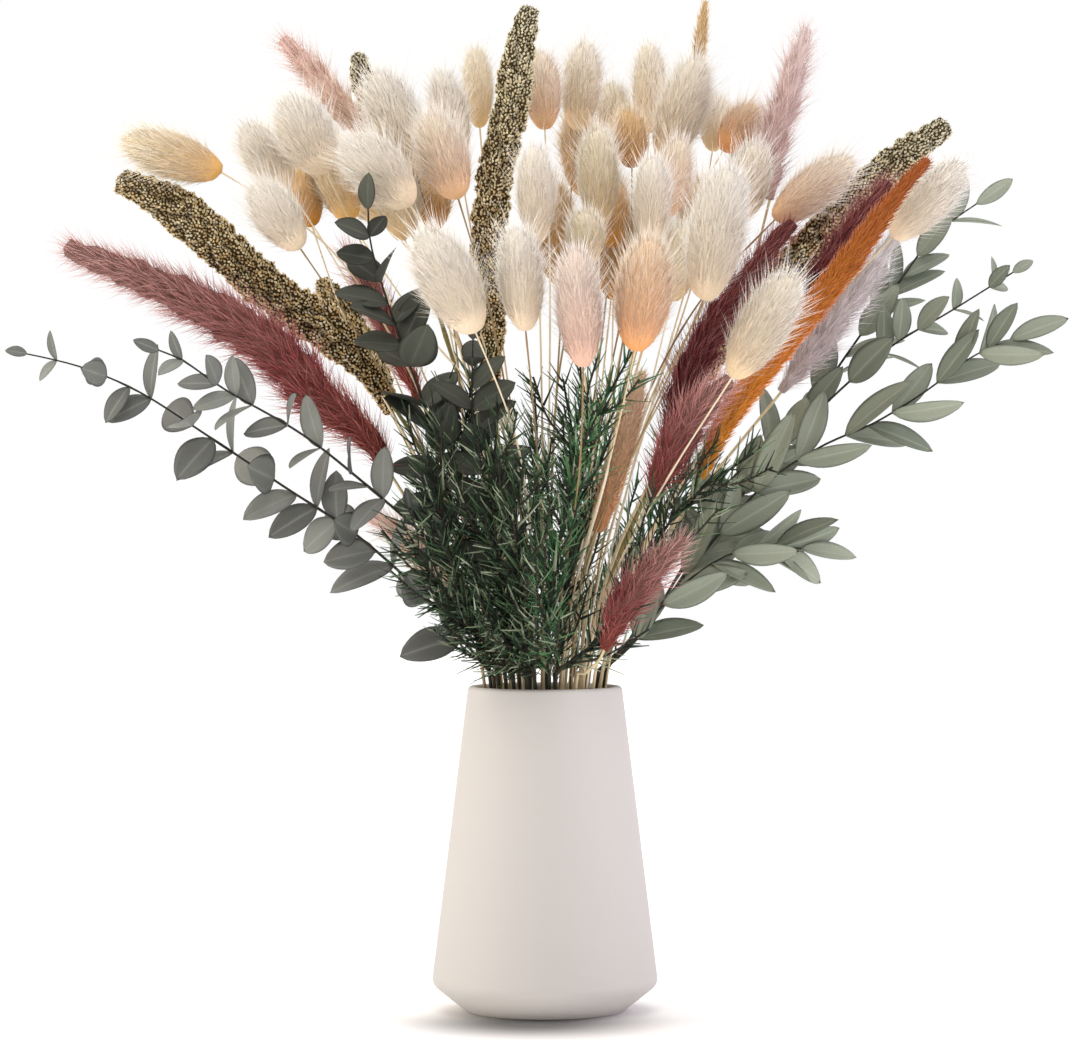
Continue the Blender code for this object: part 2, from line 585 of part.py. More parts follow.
def meshObject(name, points, faces):
    mesh = bpy.data.meshes.new(name)
    mesh.from_pydata([tuple(p) for p in points], [], faces)
    body = bmesh.new()
    body.from_mesh(mesh)
    bmesh.ops.recalc_face_normals(body, faces=body.faces)
    bmesh.ops.triangulate(body, faces=[f for f in body.faces if len(f.verts) > 4])
    body.to_mesh(mesh)
    body.free()
    obj = bpy.data.objects.new(name, mesh)
    bpy.context.scene.collection.objects.link(obj)
    return obj


def zipRings(faces, a, b, raisedFirst=None):
    # Faces between two rings of vertex numbers. With the same count, each four-sided cell is cut between its
    # two hollows, so that every raised vertex becomes a point of its own
    if len(a) == len(b) and raisedFirst is not None:
        count = len(a)
        for k in range(count):
            p, q, r, s = a[k], a[(k + 1) % count], b[(k + 1) % count], b[k]
            if (k + raisedFirst) % 2 == 0:
                faces += [(p, q, s), (q, r, s)]
            else:
                faces += [(p, q, r), (p, r, s)]
        return
    i = j = 0
    while i < len(a) or j < len(b):
        if j == len(b) or (i < len(a) and (i + 1) / len(a) <= (j + 1) / len(b)):
            faces.append((a[i % len(a)], a[(i + 1) % len(a)], b[j % len(b)]))
            i += 1
        else:
            faces.append((a[i % len(a)], b[(j + 1) % len(b)], b[j % len(b)]))
            j += 1


def ring(points, centre, side, other, radii, lifts=None):
    # Adds a ring of points round the centre and gives their numbers
    first = len(points)
    count = len(radii)
    for k, radius in enumerate(radii):
        angle = 2 * math.pi * k / count
        point = centre + (side * math.cos(angle) + other * math.sin(angle)) * radius
        points.append(point if lifts is None else point + lifts[k])
    return list(range(first, first + count))


def buildHeaded(plant):
    # Stem and head in one skin: the head's rows of raised points lean towards its tip
    form = headForms[plant["kind"]]
    spine, start = plant["spine"], plant["headStart"]
    length = lineLength(spine[start:])
    rows = max(5, int(round(length / form["rowGap"])))
    fine = throughPoints(spine[start:], rows * 8 + 1)
    tangents, side, other = frameAlong(np.vstack([spine[:start], fine]))
    points, faces = [], []
    last = None
    for k in range(start + 1):
        centre = spine[k] if k < start else fine[0]
        now = ring(points, centre, side[k], other[k], [plant["stem"]] * stemSides)
        if last is None:
            faces.append(tuple(now))
        else:
            zipRings(faces, last, now)
        last = now
    for row in range(rows):
        share = (row + 0.55) / (rows + 0.1)
        at = min(int(share * (len(fine) - 1)), len(fine) - 1)
        outer = float(headRadius(plant["kind"], np.array(share), plant["width"])) * coverShare
        raised = [(row + k) % 2 == 0 for k in range(form["sides"])]
        radii = [max(outer * (1 if up else form["hollow"]), plant["stem"] * 1.05) for up in raised]
        # Near the tip the points lean less, so that they stay inside the head's length
        lean = min(form["lean"], 0.6 * (1 - share) * length + 0.5 * mm)
        lifts = [tangents[start + at] * (lean if up else 0) for up in raised]
        now = ring(points, fine[at], side[start + at], other[start + at], radii, lifts)
        zipRings(faces, last, now, None if row == 0 else (row - 1) % 2)
        last = now
    points.append(fine[-1])
    tip = len(points) - 1
    count = len(last)
    faces += [(last[k], last[(k + 1) % count], tip) for k in range(count)]
    return meshObject(plant["name"], points, faces)


def tube(faces, a, b):
    # Sides between two four-cornered sections, with both broad sides cut along the same diagonal
    for i in range(leafySides):
        p, q, r, s = a[i], a[(i + 1) % leafySides], b[(i + 1) % leafySides], b[i]
        faces += [(p, q, r), (p, r, s)] if i < 2 else [(p, q, s), (q, r, s)]


def growBlade(points, faces, corners, leaf):
    # An arched blade of even thickness grows out of four corners
    last = corners
    for along, half in bladeRows:
        now = []
        for across, offset in ((half, -0.5), (-half, -0.5), (-half, 0.5), (half, 0.5)):
            now.append(len(points))
            points.append(bladePoint(leaf, along, across) + leaf["up"] * offset * leafThickness)
        tube(faces, last, now)
        last = now
    low, high = len(points), len(points) + 1
    tip = bladePoint(leaf, 1, 0)
    points += [tip - leaf["up"] * leafThickness / 2, tip + leaf["up"] * leafThickness / 2]
    faces += [(last[0], last[1], low), (last[1], last[2], high), (last[1], high, low),
              (last[2], last[3], high), (last[3], last[0], low), (last[3], low, high)]


def growNeedle(points, faces, corners, leaf):
    points.append(bladePoint(leaf, 1, 0))
    faces += [(corners[i], corners[(i + 1) % leafySides], len(points) - 1) for i in range(leafySides)]


def buildLeafy(plant):
    # Stem and leaves in one skin: a band's side is either a plain face or the root of a leaf
    grow = growBlade if plant["kind"] == "eucalyptus" else growNeedle
    half = leafForms[plant["kind"]]["band"] / 2
    stem = plant["spine"][:plant["headStart"]]
    fine, tangents, sides, others = leafyLine(plant)
    _, lowSides, lowOthers = frameAlong(np.vstack([stem, fine]))
    points, faces = [], []

    def square(centre, side, other, radius, spin):
        quarter = math.remainder(spin, math.pi / 2) - math.pi / 4
        across = side * math.cos(quarter) + other * math.sin(quarter)
        return ring(points, centre, across, other * math.cos(quarter) - side * math.sin(quarter),
                    [radius] * leafySides)

    first = plant["bands"][0]["spin"]
    last = None
    for centre, side, other in zip(stem, lowSides, lowOthers):
        now = square(centre, side, other, plant["stem"], first)
        if last is None:
            faces.append(tuple(now))
        else:
            tube(faces, last, now)
        last = now
    for band in plant["bands"]:
        at, spin = band["at"], band["spin"]
        radius = np.interp(at, [0, finePoints - 1], [plant["stem"], thinStem])
        low, high = (square(fine[at] + tangents[at] * way * half, sides[at], others[at], radius, spin)
                     for way in (-1, 1))
        tube(faces, last, low)
        # The band's own count of quarter turns says which of its sides faces which way
        quarters = int(round((spin - math.remainder(spin, math.pi / 2)) / (math.pi / 2)))
        for i in range(leafySides):
            after = (i + 1) % leafySides
            corners = [low[i], low[after], high[after], high[i]]
            leaf = band["leaves"].get((i - quarters) % leafySides)
            if leaf is None:
                faces += [(corners[0], corners[1], corners[2]), (corners[0], corners[2], corners[3])]
            else:
                grow(points, faces, corners, leaf)
        last = high
    now = square(fine[-1], sides[-1], others[-1], thinStem, plant["bands"][-1]["spin"])
    tube(faces, last, now)
    grow(points, faces, now, plant["tipLeaf"])
    return meshObject(plant["name"], points, faces)


def fuse(body, forks):
    # One union joins the forks to the stem that they leave, and the forks are then removed. The exact
    # solver can leave open edges where the two thin stems part, so this one is used
    group = bpy.data.collections.new(body.name + "_forks")
    bpy.context.scene.collection.children.link(group)
    for fork in forks:
        bpy.context.scene.collection.objects.unlink(fork)
        group.objects.link(fork)
    join = body.modifiers.new("join", "BOOLEAN")
    join.operation = "UNION"
    join.operand_type = "COLLECTION"
    join.collection = group
    join.solver = "MANIFOLD"
    bpy.context.view_layer.update()
    graph = bpy.context.evaluated_depsgraph_get()
    joined = bpy.data.meshes.new_from_object(body.evaluated_get(graph))
    body.modifiers.clear()
    body.data = joined
    for fork in forks:
        bpy.data.objects.remove(fork)
    bpy.data.collections.remove(group)


def rounded(corners):
    # An outline in (radius, height) whose corners are rounded, each given with its rounding and how many
    # steps its arc takes. A rounding of 0 leaves the corner sharp
    outline = []
    for n, (x, z, rounding, steps) in enumerate(corners):
        corner = np.array([x, z])
        if rounding == 0:
            outline.append(corner)
            continue
        back = unit(np.array(corners[n - 1][:2]) - corner)
        on = unit(np.array(corners[n + 1][:2]) - corner)
        half = math.acos(back @ on) / 2
        centre = corner + unit(back + on) * rounding / math.sin(half)
        first = unit(corner + back * rounding / math.tan(half) - centre)
        last = unit(corner + on * rounding / math.tan(half) - centre)
        sweep = math.acos(first @ last)
        for k in range(steps + 1):
            t = k / steps
            way = (first * math.sin((1 - t) * sweep) + last * math.sin(t * sweep)) / math.sin(sweep)
            outline.append(centre + way * rounding)
    return outline


def buildVase():
    # The outline runs up the outside from the foot, over the rim and down inside, and is spun about Z
    outline = rounded([
        (0, 0, 0, 0),
        (footRadius, 0, footRounding, 1),
        (shoulderRadius, shoulderHeight, shoulderRounding, 4),
        (rimRadius, vaseHeight, rimRounding, 2),
        (rimRadius - wallThickness, vaseHeight, rimRounding, 1),
        (shoulderRadius - wallThickness, shoulderHeight + wallThickness, 0, 0),
        (footRadius, floorThickness, 0, 0),
        (0, floorThickness, 0, 0),
    ])
    body = bmesh.new()
    points = [body.verts.new((x, 0, z)) for x, z in outline]
    edges = [body.edges.new(pair) for pair in zip(points[:-1], points[1:])]
    bmesh.ops.spin(body, geom=points + edges, cent=(0, 0, 0), axis=(0, 0, 1), angle=2 * math.pi,
                   steps=vaseSides, use_merge=True)
    bmesh.ops.remove_doubles(body, verts=body.verts, dist=0.01 * mm)
    bmesh.ops.recalc_face_normals(body, faces=body.faces)
    mesh = bpy.data.meshes.new("vase")
    body.to_mesh(mesh)
    body.free()
    mesh.shade_smooth()
    vase = bpy.data.objects.new("vase", mesh)
    bpy.context.scene.collection.objects.link(vase)
    mesh.set_sharp_from_angle(angle=math.radians(40))
    return vase


def main():
    for obj in list(bpy.data.objects):
        bpy.data.objects.remove(obj)
    vase = buildVase()
    vase.data.materials.append(makeMaterial("ceramic", 0.55))
    plants = planBouquet()
    built = [buildLeafy(p) if p["kind"] in leafForms else buildHeaded(p) for p in plants]
    for n, plant in enumerate(plants):
        if plant["forkOf"] is not None:
            continue
        branches = [built[m] for m, p in enumerate(plants) if p["forkOf"] == n]
        if branches:
            fuse(built[n], branches)
        built[n].data.materials.clear()
        built[n].data.materials.append(makeMaterial(plant["tint"], 0.85))


main()
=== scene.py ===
# Dried bunny tails, reed plumes, millet and foliage in a ceramic vase: the finished look.
# Metres, +Z up, the origin at the middle of the vase's foot; the bouquet is seen from -Y.
import math

import bmesh
import bpy
import numpy as np
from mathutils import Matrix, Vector


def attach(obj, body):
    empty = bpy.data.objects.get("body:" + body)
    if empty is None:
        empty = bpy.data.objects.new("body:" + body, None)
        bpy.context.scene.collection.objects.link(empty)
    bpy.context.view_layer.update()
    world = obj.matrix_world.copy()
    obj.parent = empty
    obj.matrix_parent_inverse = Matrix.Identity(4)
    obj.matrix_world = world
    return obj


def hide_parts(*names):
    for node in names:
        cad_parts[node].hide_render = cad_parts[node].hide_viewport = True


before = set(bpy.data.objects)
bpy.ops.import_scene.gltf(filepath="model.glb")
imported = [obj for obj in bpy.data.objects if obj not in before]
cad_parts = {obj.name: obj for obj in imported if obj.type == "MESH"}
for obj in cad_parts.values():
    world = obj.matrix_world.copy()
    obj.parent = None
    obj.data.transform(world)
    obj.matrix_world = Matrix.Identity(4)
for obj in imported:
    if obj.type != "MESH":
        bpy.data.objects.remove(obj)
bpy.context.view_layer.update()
mm = 0.001
print("frame loaded:", len(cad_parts), "nodes")


# Node trees
class Wire:
    # An output socket that takes part in sums: each sum adds a Math or Vector Math node to its tree
    def __init__(self, maker, node, socket):
        self.maker, self.node, self.socket = maker, node, socket

    def __getitem__(self, name):
        found = [s for s in self.node.outputs if s.name == name and s.enabled]
        return Wire(self.maker, self.node, found[0])

    def sum(self, operation, first, second):
        flat = all(w.socket.type in ("VALUE", "INT") for w in (first, second) if isinstance(w, Wire))
        kind = "ShaderNodeMath" if flat else "ShaderNodeVectorMath"
        return self.maker.node(kind, {"operation": operation}, {0: first, 1: second})

    def __add__(self, other):
        return self.sum("ADD", self, other)

    def __radd__(self, other):
        return self.sum("ADD", other, self)

    def __sub__(self, other):
        return self.sum("SUBTRACT", self, other)

    def __rsub__(self, other):
        return self.sum("SUBTRACT", other, self)

    def __mul__(self, other):
        return self.sum("MULTIPLY", self, other)

    def __rmul__(self, other):
        return self.sum("MULTIPLY", other, self)

    def __truediv__(self, other):
        return self.sum("DIVIDE", self, other)

    def __rtruediv__(self, other):
        return self.sum("DIVIDE", other, self)

    def __pow__(self, other):
        return self.sum("POWER", self, other)


class Maker:
    # Builds one node tree, of a material or of geometry
    def __init__(self, tree):
        self.tree = tree

    def node(self, kind, settings=None, sockets=None):
        # Settings first, because they decide which sockets there are. A socket is given by name or number
        made = self.tree.nodes.new(kind)
        for key, value in (settings or {}).items():
            if key == "stops":
                self.setStops(made.color_ramp, value)
            else:
                setattr(made, key, value)
        for key, value in (sockets or {}).items():
            socket = made.inputs[key] if isinstance(key, int) else next(
                s for s in made.inputs if s.name == key and s.enabled)
            self.feed(socket, value)
        shown = [s for s in made.outputs if s.enabled]
        return Wire(self, made, shown[0]) if shown else made

    def feed(self, socket, value):
        if isinstance(value, Wire):
            self.tree.links.new(value.socket, socket)
        elif isinstance(value, list):
            for wire in value:
                self.tree.links.new(wire.socket, socket)
        elif socket.type in ("VECTOR", "RGBA") and isinstance(value, (int, float)):
            socket.default_value = (value, value, value, 1)[:len(socket.default_value)]
        elif socket.type == "VALUE":
            socket.default_value = float(value)
        else:
            socket.default_value = value

    def setStops(self, ramp, stops):
        while len(ramp.elements) < len(stops):
            ramp.elements.new(0.5)
        for element, (place, colour) in zip(ramp.elements, stops):
            element.position, element.color = place, colour

    def mix(self, share, first, second):
        # Sockets 6 and 7 of a colour Mix are its two colours
        made = self.node("ShaderNodeMix", {"data_type": "RGBA"}, {0: share, 6: first, 7: second})
        return Wire(self, made.node, made.node.outputs[2])

    def attribute(self, name):
        return self.node("ShaderNodeAttribute", {"attribute_name": name})["Fac"]

    def field(self, name, kind="FLOAT"):
        return self.node("GeometryNodeInputNamedAttribute", {"data_type": kind}, {"Name": name})

    def random(self, low, high, seed):
        # A draw for each point, as a number or as a vector
        kind = "FLOAT_VECTOR" if isinstance(low, tuple) else "FLOAT"
        return self.node("FunctionNodeRandomValue", {"data_type": kind}, {"Min": low, "Max": high, "Seed": seed})


def linear(colour, strength=1.0):
    # Red, green and blue from 0 to 255 as the shader's linear values
    return tuple(strength * ((c / 255 + 0.055) / 1.055) ** 2.4 for c in colour) + (1,)


def geometryTree(name, inputs):
    # A tree with named inputs, and wires from them
    kinds = {"number": "NodeSocketFloat", "count": "NodeSocketInt", "finish": "NodeSocketMaterial",
             "shape": "NodeSocketObject"}
    tree = bpy.data.node_groups.new(name, "GeometryNodeTree")
    tree.interface.new_socket("Geometry", in_out="INPUT", socket_type="NodeSocketGeometry")
    for label, kind in inputs.items():
        tree.interface.new_socket(label, in_out="INPUT", socket_type=kinds[kind])
    tree.interface.new_socket("Geometry", in_out="OUTPUT", socket_type="NodeSocketGeometry")
    maker = Maker(tree)
    start = maker.node("NodeGroupInput")
    return maker, start


def endTree(maker, geometry):
    maker.node("NodeGroupOutput", None, {"Geometry": geometry})
    return maker.tree


def runTree(obj, tree, values):
    # Sets the tree's inputs by their identifiers, then keeps its result as a plain mesh
    modifier = obj.modifiers.new(tree.name, "NODES")
    modifier.node_group = tree
    for item in tree.interface.items_tree:
        if item.in_out == "INPUT" and item.name in values:
            modifier[item.identifier] = values[item.name]
    bpy.context.view_layer.update()
    grown = bpy.data.meshes.new_from_object(obj.evaluated_get(bpy.context.evaluated_depsgraph_get()))
    obj.modifiers.clear()
    obj.data = grown
    return obj


def meshPiece(name, points, faces=(), edges=(), attributes=None, smooth=True):
    # A mesh with its own attributes: numbers or vectors, one for each point
    mesh = bpy.data.meshes.new(name)
    mesh.from_pydata([tuple(p) for p in points], [tuple(e) for e in edges], [tuple(f) for f in faces])
    for label, values in (attributes or {}).items():
        values = np.asarray(values, np.float32)
        kind, slot = ("FLOAT_VECTOR", "vector") if values.ndim == 2 else ("FLOAT", "value")
        mesh.attributes.new(label, kind, "POINT").data.foreach_set(slot, values.ravel())
    if smooth:
        mesh.shade_smooth()
    obj = bpy.data.objects.new(name, mesh)
    bpy.context.scene.collection.objects.link(obj)
    return obj


def joined(name, objects):
    # One object of several, with all their materials and attributes
    with bpy.context.temp_override(active_object=objects[0], object=objects[0],
                                   selected_editable_objects=objects, selected_objects=objects):
        bpy.ops.object.join()
    objects[0].name = objects[0].data.name = name
    return objects[0]


# Camera, floor and light
camera = {"distance": 2.5, "height": 0.31, "aimHeight": 0.272, "aside": -0.0036, "lens": 150.8}
# shade, shadeAt and shadeReach are the colour, centre and reach of a painted shadow on the floor in front of the
# foot
studio = {"floorSide": 9.0, "floorColour": (250, 249, 248), "nearGlow": 0.0, "farGlow": 0.4,
          "surround": 0.52, "sunPower": 1.4, "sunSpread": 50, "sunFrom": (-0.15, 0.45, 1.0),
          "shade": (40, 38, 38), "shadeAt": (-0.008, -0.06), "shadeReach": (0.055, 0.05),
          "lamps": [((-1.9, 0.1, 1.3), 1.2, 22, (255, 241, 224)), ((1.9, 0.1, 1.3), 1.2, 20, (250, 238, 250)),
                    ((0.0, -0.75, 1.25), 0.8, 4.4, (255, 249, 240)),
                    ((-0.9, -1.4, 0.06), 0.3, 3, (255, 232, 206))]}


def makeCamera():
    data = bpy.data.cameras.new("photoCamera")
    data.lens, data.sensor_width, data.sensor_fit = camera["lens"], 36, "HORIZONTAL"
    data.clip_start, data.clip_end = 0.1, 50
    eye = bpy.data.objects.new("photoCamera", data)
    bpy.context.scene.collection.objects.link(eye)
    drop = camera["height"] - camera["aimHeight"]
    eye.location = (camera["aside"], -camera["distance"], camera["height"])
    eye.rotation_euler = (math.pi / 2 - math.atan2(drop, camera["distance"]), 0, 0)
    bpy.context.scene.camera = eye


def addLamp(name, kind, place, aim, power, colour):
    data = bpy.data.lights.new(name, kind)
    data.energy, data.color = power, linear(colour)[:3]
    lamp = bpy.data.objects.new(name, data)
    bpy.context.scene.collection.objects.link(lamp)
    lamp.location = place
    lamp.rotation_euler = (Vector(aim) - Vector(place)).to_track_quat("-Z", "Y").to_euler()
    return data


def makeStudio():
    half = studio["floorSide"] / 2
    floor = meshPiece("paleFloor", [(-half, -half, 0), (half, -half, 0), (half, half, 0), (-half, half, 0)],
                      [(0, 1, 2, 3)], smooth=False)
    floor.data.materials.append(floorFinish())
    # The backdrop is white to the eye and softer as a light
    world = bpy.data.worlds.new("studio")
    world.use_nodes = True
    world.node_tree.nodes.clear()
    maker = Maker(world.node_tree)
    seen = maker.node("ShaderNodeLightPath")["Is Camera Ray"]
    glow = maker.node("ShaderNodeBackground", None, {"Color": (1, 1, 1, 1),
                                                     "Strength": seen + (1 - seen) * studio["surround"]})
    maker.node("ShaderNodeOutputWorld", None, {"Surface": glow})
    bpy.context.scene.world = world
    for n, (place, size, power, colour) in enumerate(studio["lamps"]):
        lamp = addLamp(f"lamp{n + 1}", "AREA", place, (0, 0, place[2] / 3), power, colour)
        lamp.shape, lamp.size = "DISK", size
    sun = addLamp("softSun", "SUN", studio["sunFrom"], (0, 0, 0), studio["sunPower"], (255, 253, 250))
    sun.angle = math.radians(studio["sunSpread"])
    bpy.context.scene.view_settings.view_transform = "Standard"


# Finishes
def newFinish(name):
    made = bpy.data.materials.new(name)
    made.use_nodes = True
    made.node_tree.nodes.clear()
    return made, Maker(made.node_tree)


def endFinish(maker, sockets):
    shader = maker.node("ShaderNodeBsdfPrincipled", None, sockets)
    maker.node("ShaderNodeOutputMaterial", None, {"Surface": shader})


def noiseOf(maker, scale, detail=3.0, stretch=(1, 1, 1), roughness=0.5):
    # Noise in the object's own space, finer or coarser along each axis by stretch
    place = maker.node("ShaderNodeTexCoord")["Object"]
    place = maker.node("ShaderNodeMapping", None, {"Vector": place, "Scale": stretch})
    made = maker.node("ShaderNodeTexNoise", None, {"Vector": place, "Scale": scale, "Detail": detail,
                                                   "Roughness": roughness})
    return made["Fac"] if "Fac" in made.node.outputs else made["Factor"]


def bumpOf(maker, height, strength, distance):
    return maker.node("ShaderNodeBump", None, {"Height": height, "Strength": strength, "Distance": distance})


def rampOf(maker, factor, stops):
    # Stops are places from 0 to 1 with their colours
    return maker.node("ShaderNodeValToRGB", {"stops": [(at, linear(c)) for at, c in stops]}, {"Fac": factor})


def floorFinish():
    # White paper: it glows a little more the further it is from the vase, so that it meets the backdrop, and
    # has a painted shadow just in front of the foot, which only the camera sees, so that it still lights the vase
    # from below
    finish, maker = newFinish("paleFloor")
    cloud = noiseOf(maker, 3.0)
    tone = rampOf(maker, cloud, [(0.3, studio["floorColour"]), (0.7, (252, 252, 252))])
    place = maker.node("ShaderNodeTexCoord")["Object"]
    away = maker.node("ShaderNodeVectorMath", {"operation": "LENGTH"}, {0: place})["Value"]
    share = maker.node("ShaderNodeMapRange", {"interpolation_type": "SMOOTHSTEP"}, {
        "Value": away, "From Min": 0.12, "From Max": 0.9, "To Min": studio["nearGlow"],
        "To Max": studio["farGlow"]})
    # Painted shadow: a dark ellipse in front of the foot, for camera rays only
    (x, y), (wide, deep) = studio["shadeAt"], studio["shadeReach"]
    close = maker.node("ShaderNodeMapping", {"vector_type": "TEXTURE"}, {
        "Vector": place, "Location": (x, y, 0), "Scale": (wide, deep, 1)})
    close = maker.node("ShaderNodeVectorMath", {"operation": "LENGTH"}, {0: close})["Value"]
    dark = maker.node("ShaderNodeMapRange", {"interpolation_type": "SMOOTHSTEP"}, {
        "Value": close, "From Min": 0.2, "From Max": 1.7, "To Min": 0.85, "To Max": 0.0})
    seen = maker.node("ShaderNodeLightPath")["Is Camera Ray"]
    endFinish(maker, {"Base Color": maker.mix(dark * seen, tone, linear(studio["shade"])), "Roughness": 0.9,
                      "Specular IOR Level": 0.1, "Emission Strength": 1.0,
                      "Emission Color": maker.mix(share, (0, 0, 0, 1), linear(studio["floorColour"]))})
    return finish


def hairFinish(name, foot, middle, tip, pale, dark, soft):
    # Hair that changes from the head's foot to its tip, grows paler towards each hair's own tip, and has
    # painted shade near its roots down between the lumps of a lumpy head
    finish, maker = newFinish(name)
    along, reach, shade, lump = (maker.attribute(a) for a in ("along", "reach", "shade", "lump"))
    base = rampOf(maker, along, [(0.02, foot), (0.35, middle), (0.95, tip)])
    # Each hair darker or lighter at random, plus painted shade towards its roots in the hollows between the lumps
    low = (1 - shade) * dark + (1 - lump) * (1 - reach) * (dark - 0.12)
    shaded = maker.mix(low, base, linear([c * 0.5 for c in middle]))
    tipped = maker.mix(reach * reach * pale, shaded, linear([c + (252 - c) * 0.6 for c in tip]))
    cloud = noiseOf(maker, 120)
    endFinish(maker, {"Base Color": maker.mix(cloud * 0.25, tipped, linear([c * 0.8 for c in middle])),
                      "Roughness": 0.85, "Specular IOR Level": 0.15, "Sheen Weight": 0.5 * soft,
                      "Sheen Roughness": 0.5, "Subsurface Weight": soft, "Subsurface Scale": 3 * mm,
                      "Subsurface Radius": (1.0, 0.85, 0.65)})
    return finish


def coreFinish(name, foot, tip):
    # What shows between the hairs
    finish, maker = newFinish(name)
    along = maker.attribute("along")
    cloud = noiseOf(maker, 900, 2)
    tone = rampOf(maker, along, [(0.0, foot), (0.9, tip)])
    endFinish(maker, {"Base Color": maker.mix(cloud * 0.5, tone, linear([c * 0.7 for c in foot])),
                      "Roughness": 0.95, "Specular IOR Level": 0.1,
                      "Normal": bumpOf(maker, cloud, 0.5, 0.6 * mm)})
    return finish


def stemFinish(name, foot, tip, fibre):
    # Straw or twig: fine lines along the stem, and colour that changes on its way up
    finish, maker = newFinish(name)
    along = maker.attribute("along")
    line = noiseOf(maker, 500, 2, (1, 1, 0.04))
    blotch = noiseOf(maker, 60, 3)
    tone = rampOf(maker, along, [(0.1, foot), (0.9, tip)])
    tone = maker.mix(line * 0.45, tone, linear(fibre))
    endFinish(maker, {"Base Color": maker.mix(blotch * 0.25, tone, linear([c * 0.75 for c in fibre])),
                      "Roughness": 0.55 + line * 0.3, "Specular IOR Level": 0.35,
                      "Normal": bumpOf(maker, line, 0.4, 0.3 * mm)})
    return finish


# Geometry trees that the pieces share
def bristleTree(name, segments, withCore=True):
    # Bristles all over a core that lean the way it grows, each a thin closed cone that may curl and may be
    # flattened
    maker, given = geometryTree(name, {
        "Spacing": "number", "Length": "number", "Width": "number", "Lift": "number", "Spread": "number",
        "Curl": "number", "Twist": "number", "Uneven": "number", "Blunt": "number", "Flat": "number",
        "Seed": "count", "Finish": "finish", "Core": "finish"})
    seed = given["Seed"]
    spots = maker.node("GeometryNodeDistributePointsOnFaces", {"distribute_method": "POISSON"}, {
        "Mesh": given["Geometry"], "Distance Min": given["Spacing"], "Seed": seed,
        "Density Max": 3.5 / (given["Spacing"] * given["Spacing"])})
    cone = maker.node("GeometryNodeMeshCone", {"fill_type": "NGON"}, {
        "Vertices": 3, "Side Segments": segments, "Depth": 1,
        "Radius Top": given["Width"] / given["Length"] * given["Blunt"],
        "Radius Bottom": given["Width"] / given["Length"]})
    rise = maker.node("ShaderNodeSeparateXYZ", None, {0: maker.node("GeometryNodeInputPosition")})["Z"]
    cone = maker.node("GeometryNodeStoreNamedAttribute", {"data_type": "FLOAT", "domain": "POINT"}, {
        "Geometry": cone, "Name": "reach", "Value": rise})
    bend = maker.node("ShaderNodeCombineXYZ", None, {"X": rise * rise * given["Curl"]})
    cone = maker.node("GeometryNodeSetPosition", None, {"Geometry": cone, "Offset": bend})
    growth = maker.field("growth", "FLOAT_VECTOR")
    loose = maker.random((-1, -1, -1), (1, 1, 1), seed + 1)
    aim = spots["Normal"] * given["Lift"] + growth + loose * given["Spread"]
    turn = maker.node("FunctionNodeAxesToRotation", {"primary_axis": "Z", "secondary_axis": "X"}, {
        "Primary Axis": aim, "Secondary Axis": growth})
    spin = maker.node("FunctionNodeAxisAngleToRotation", None, {
        "Axis": (0, 0, 1), "Angle": maker.random(-1.0, 1.0, seed + 2) * given["Twist"]})
    turn = maker.node("FunctionNodeRotateRotation", {"rotation_space": "LOCAL"}, {
        "Rotation": turn, "Rotate By": spin})
    vary = 1 + maker.random(-1.0, 1.0, seed + 3) * given["Uneven"]
    size = given["Length"] * maker.field("size") * vary
    size = maker.node("ShaderNodeCombineXYZ", None, {"X": size * given["Flat"], "Y": size, "Z": size})
    grown = maker.node("GeometryNodeInstanceOnPoints", None, {
        "Points": spots, "Instance": cone, "Rotation": turn, "Scale": size})
    grown = maker.node("GeometryNodeStoreNamedAttribute", {"data_type": "FLOAT", "domain": "INSTANCE"}, {
        "Geometry": grown, "Name": "shade", "Value": maker.random(0.0, 1.0, seed + 4)})
    grown = maker.node("GeometryNodeRealizeInstances", None, {"Geometry": grown})
    grown = maker.node("GeometryNodeSetShadeSmooth", None, {"Geometry": grown})
    grown = maker.node("GeometryNodeSetMaterial", None, {"Geometry": grown, "Material": given["Finish"]})
    if not withCore:
        return endTree(maker, grown)
    core = maker.node("GeometryNodeSetMaterial", None, {"Geometry": given["Geometry"],
                                                        "Material": given["Core"]})
    return endTree(maker, maker.node("GeometryNodeJoinGeometry", None, {"Geometry": [core, grown]}))


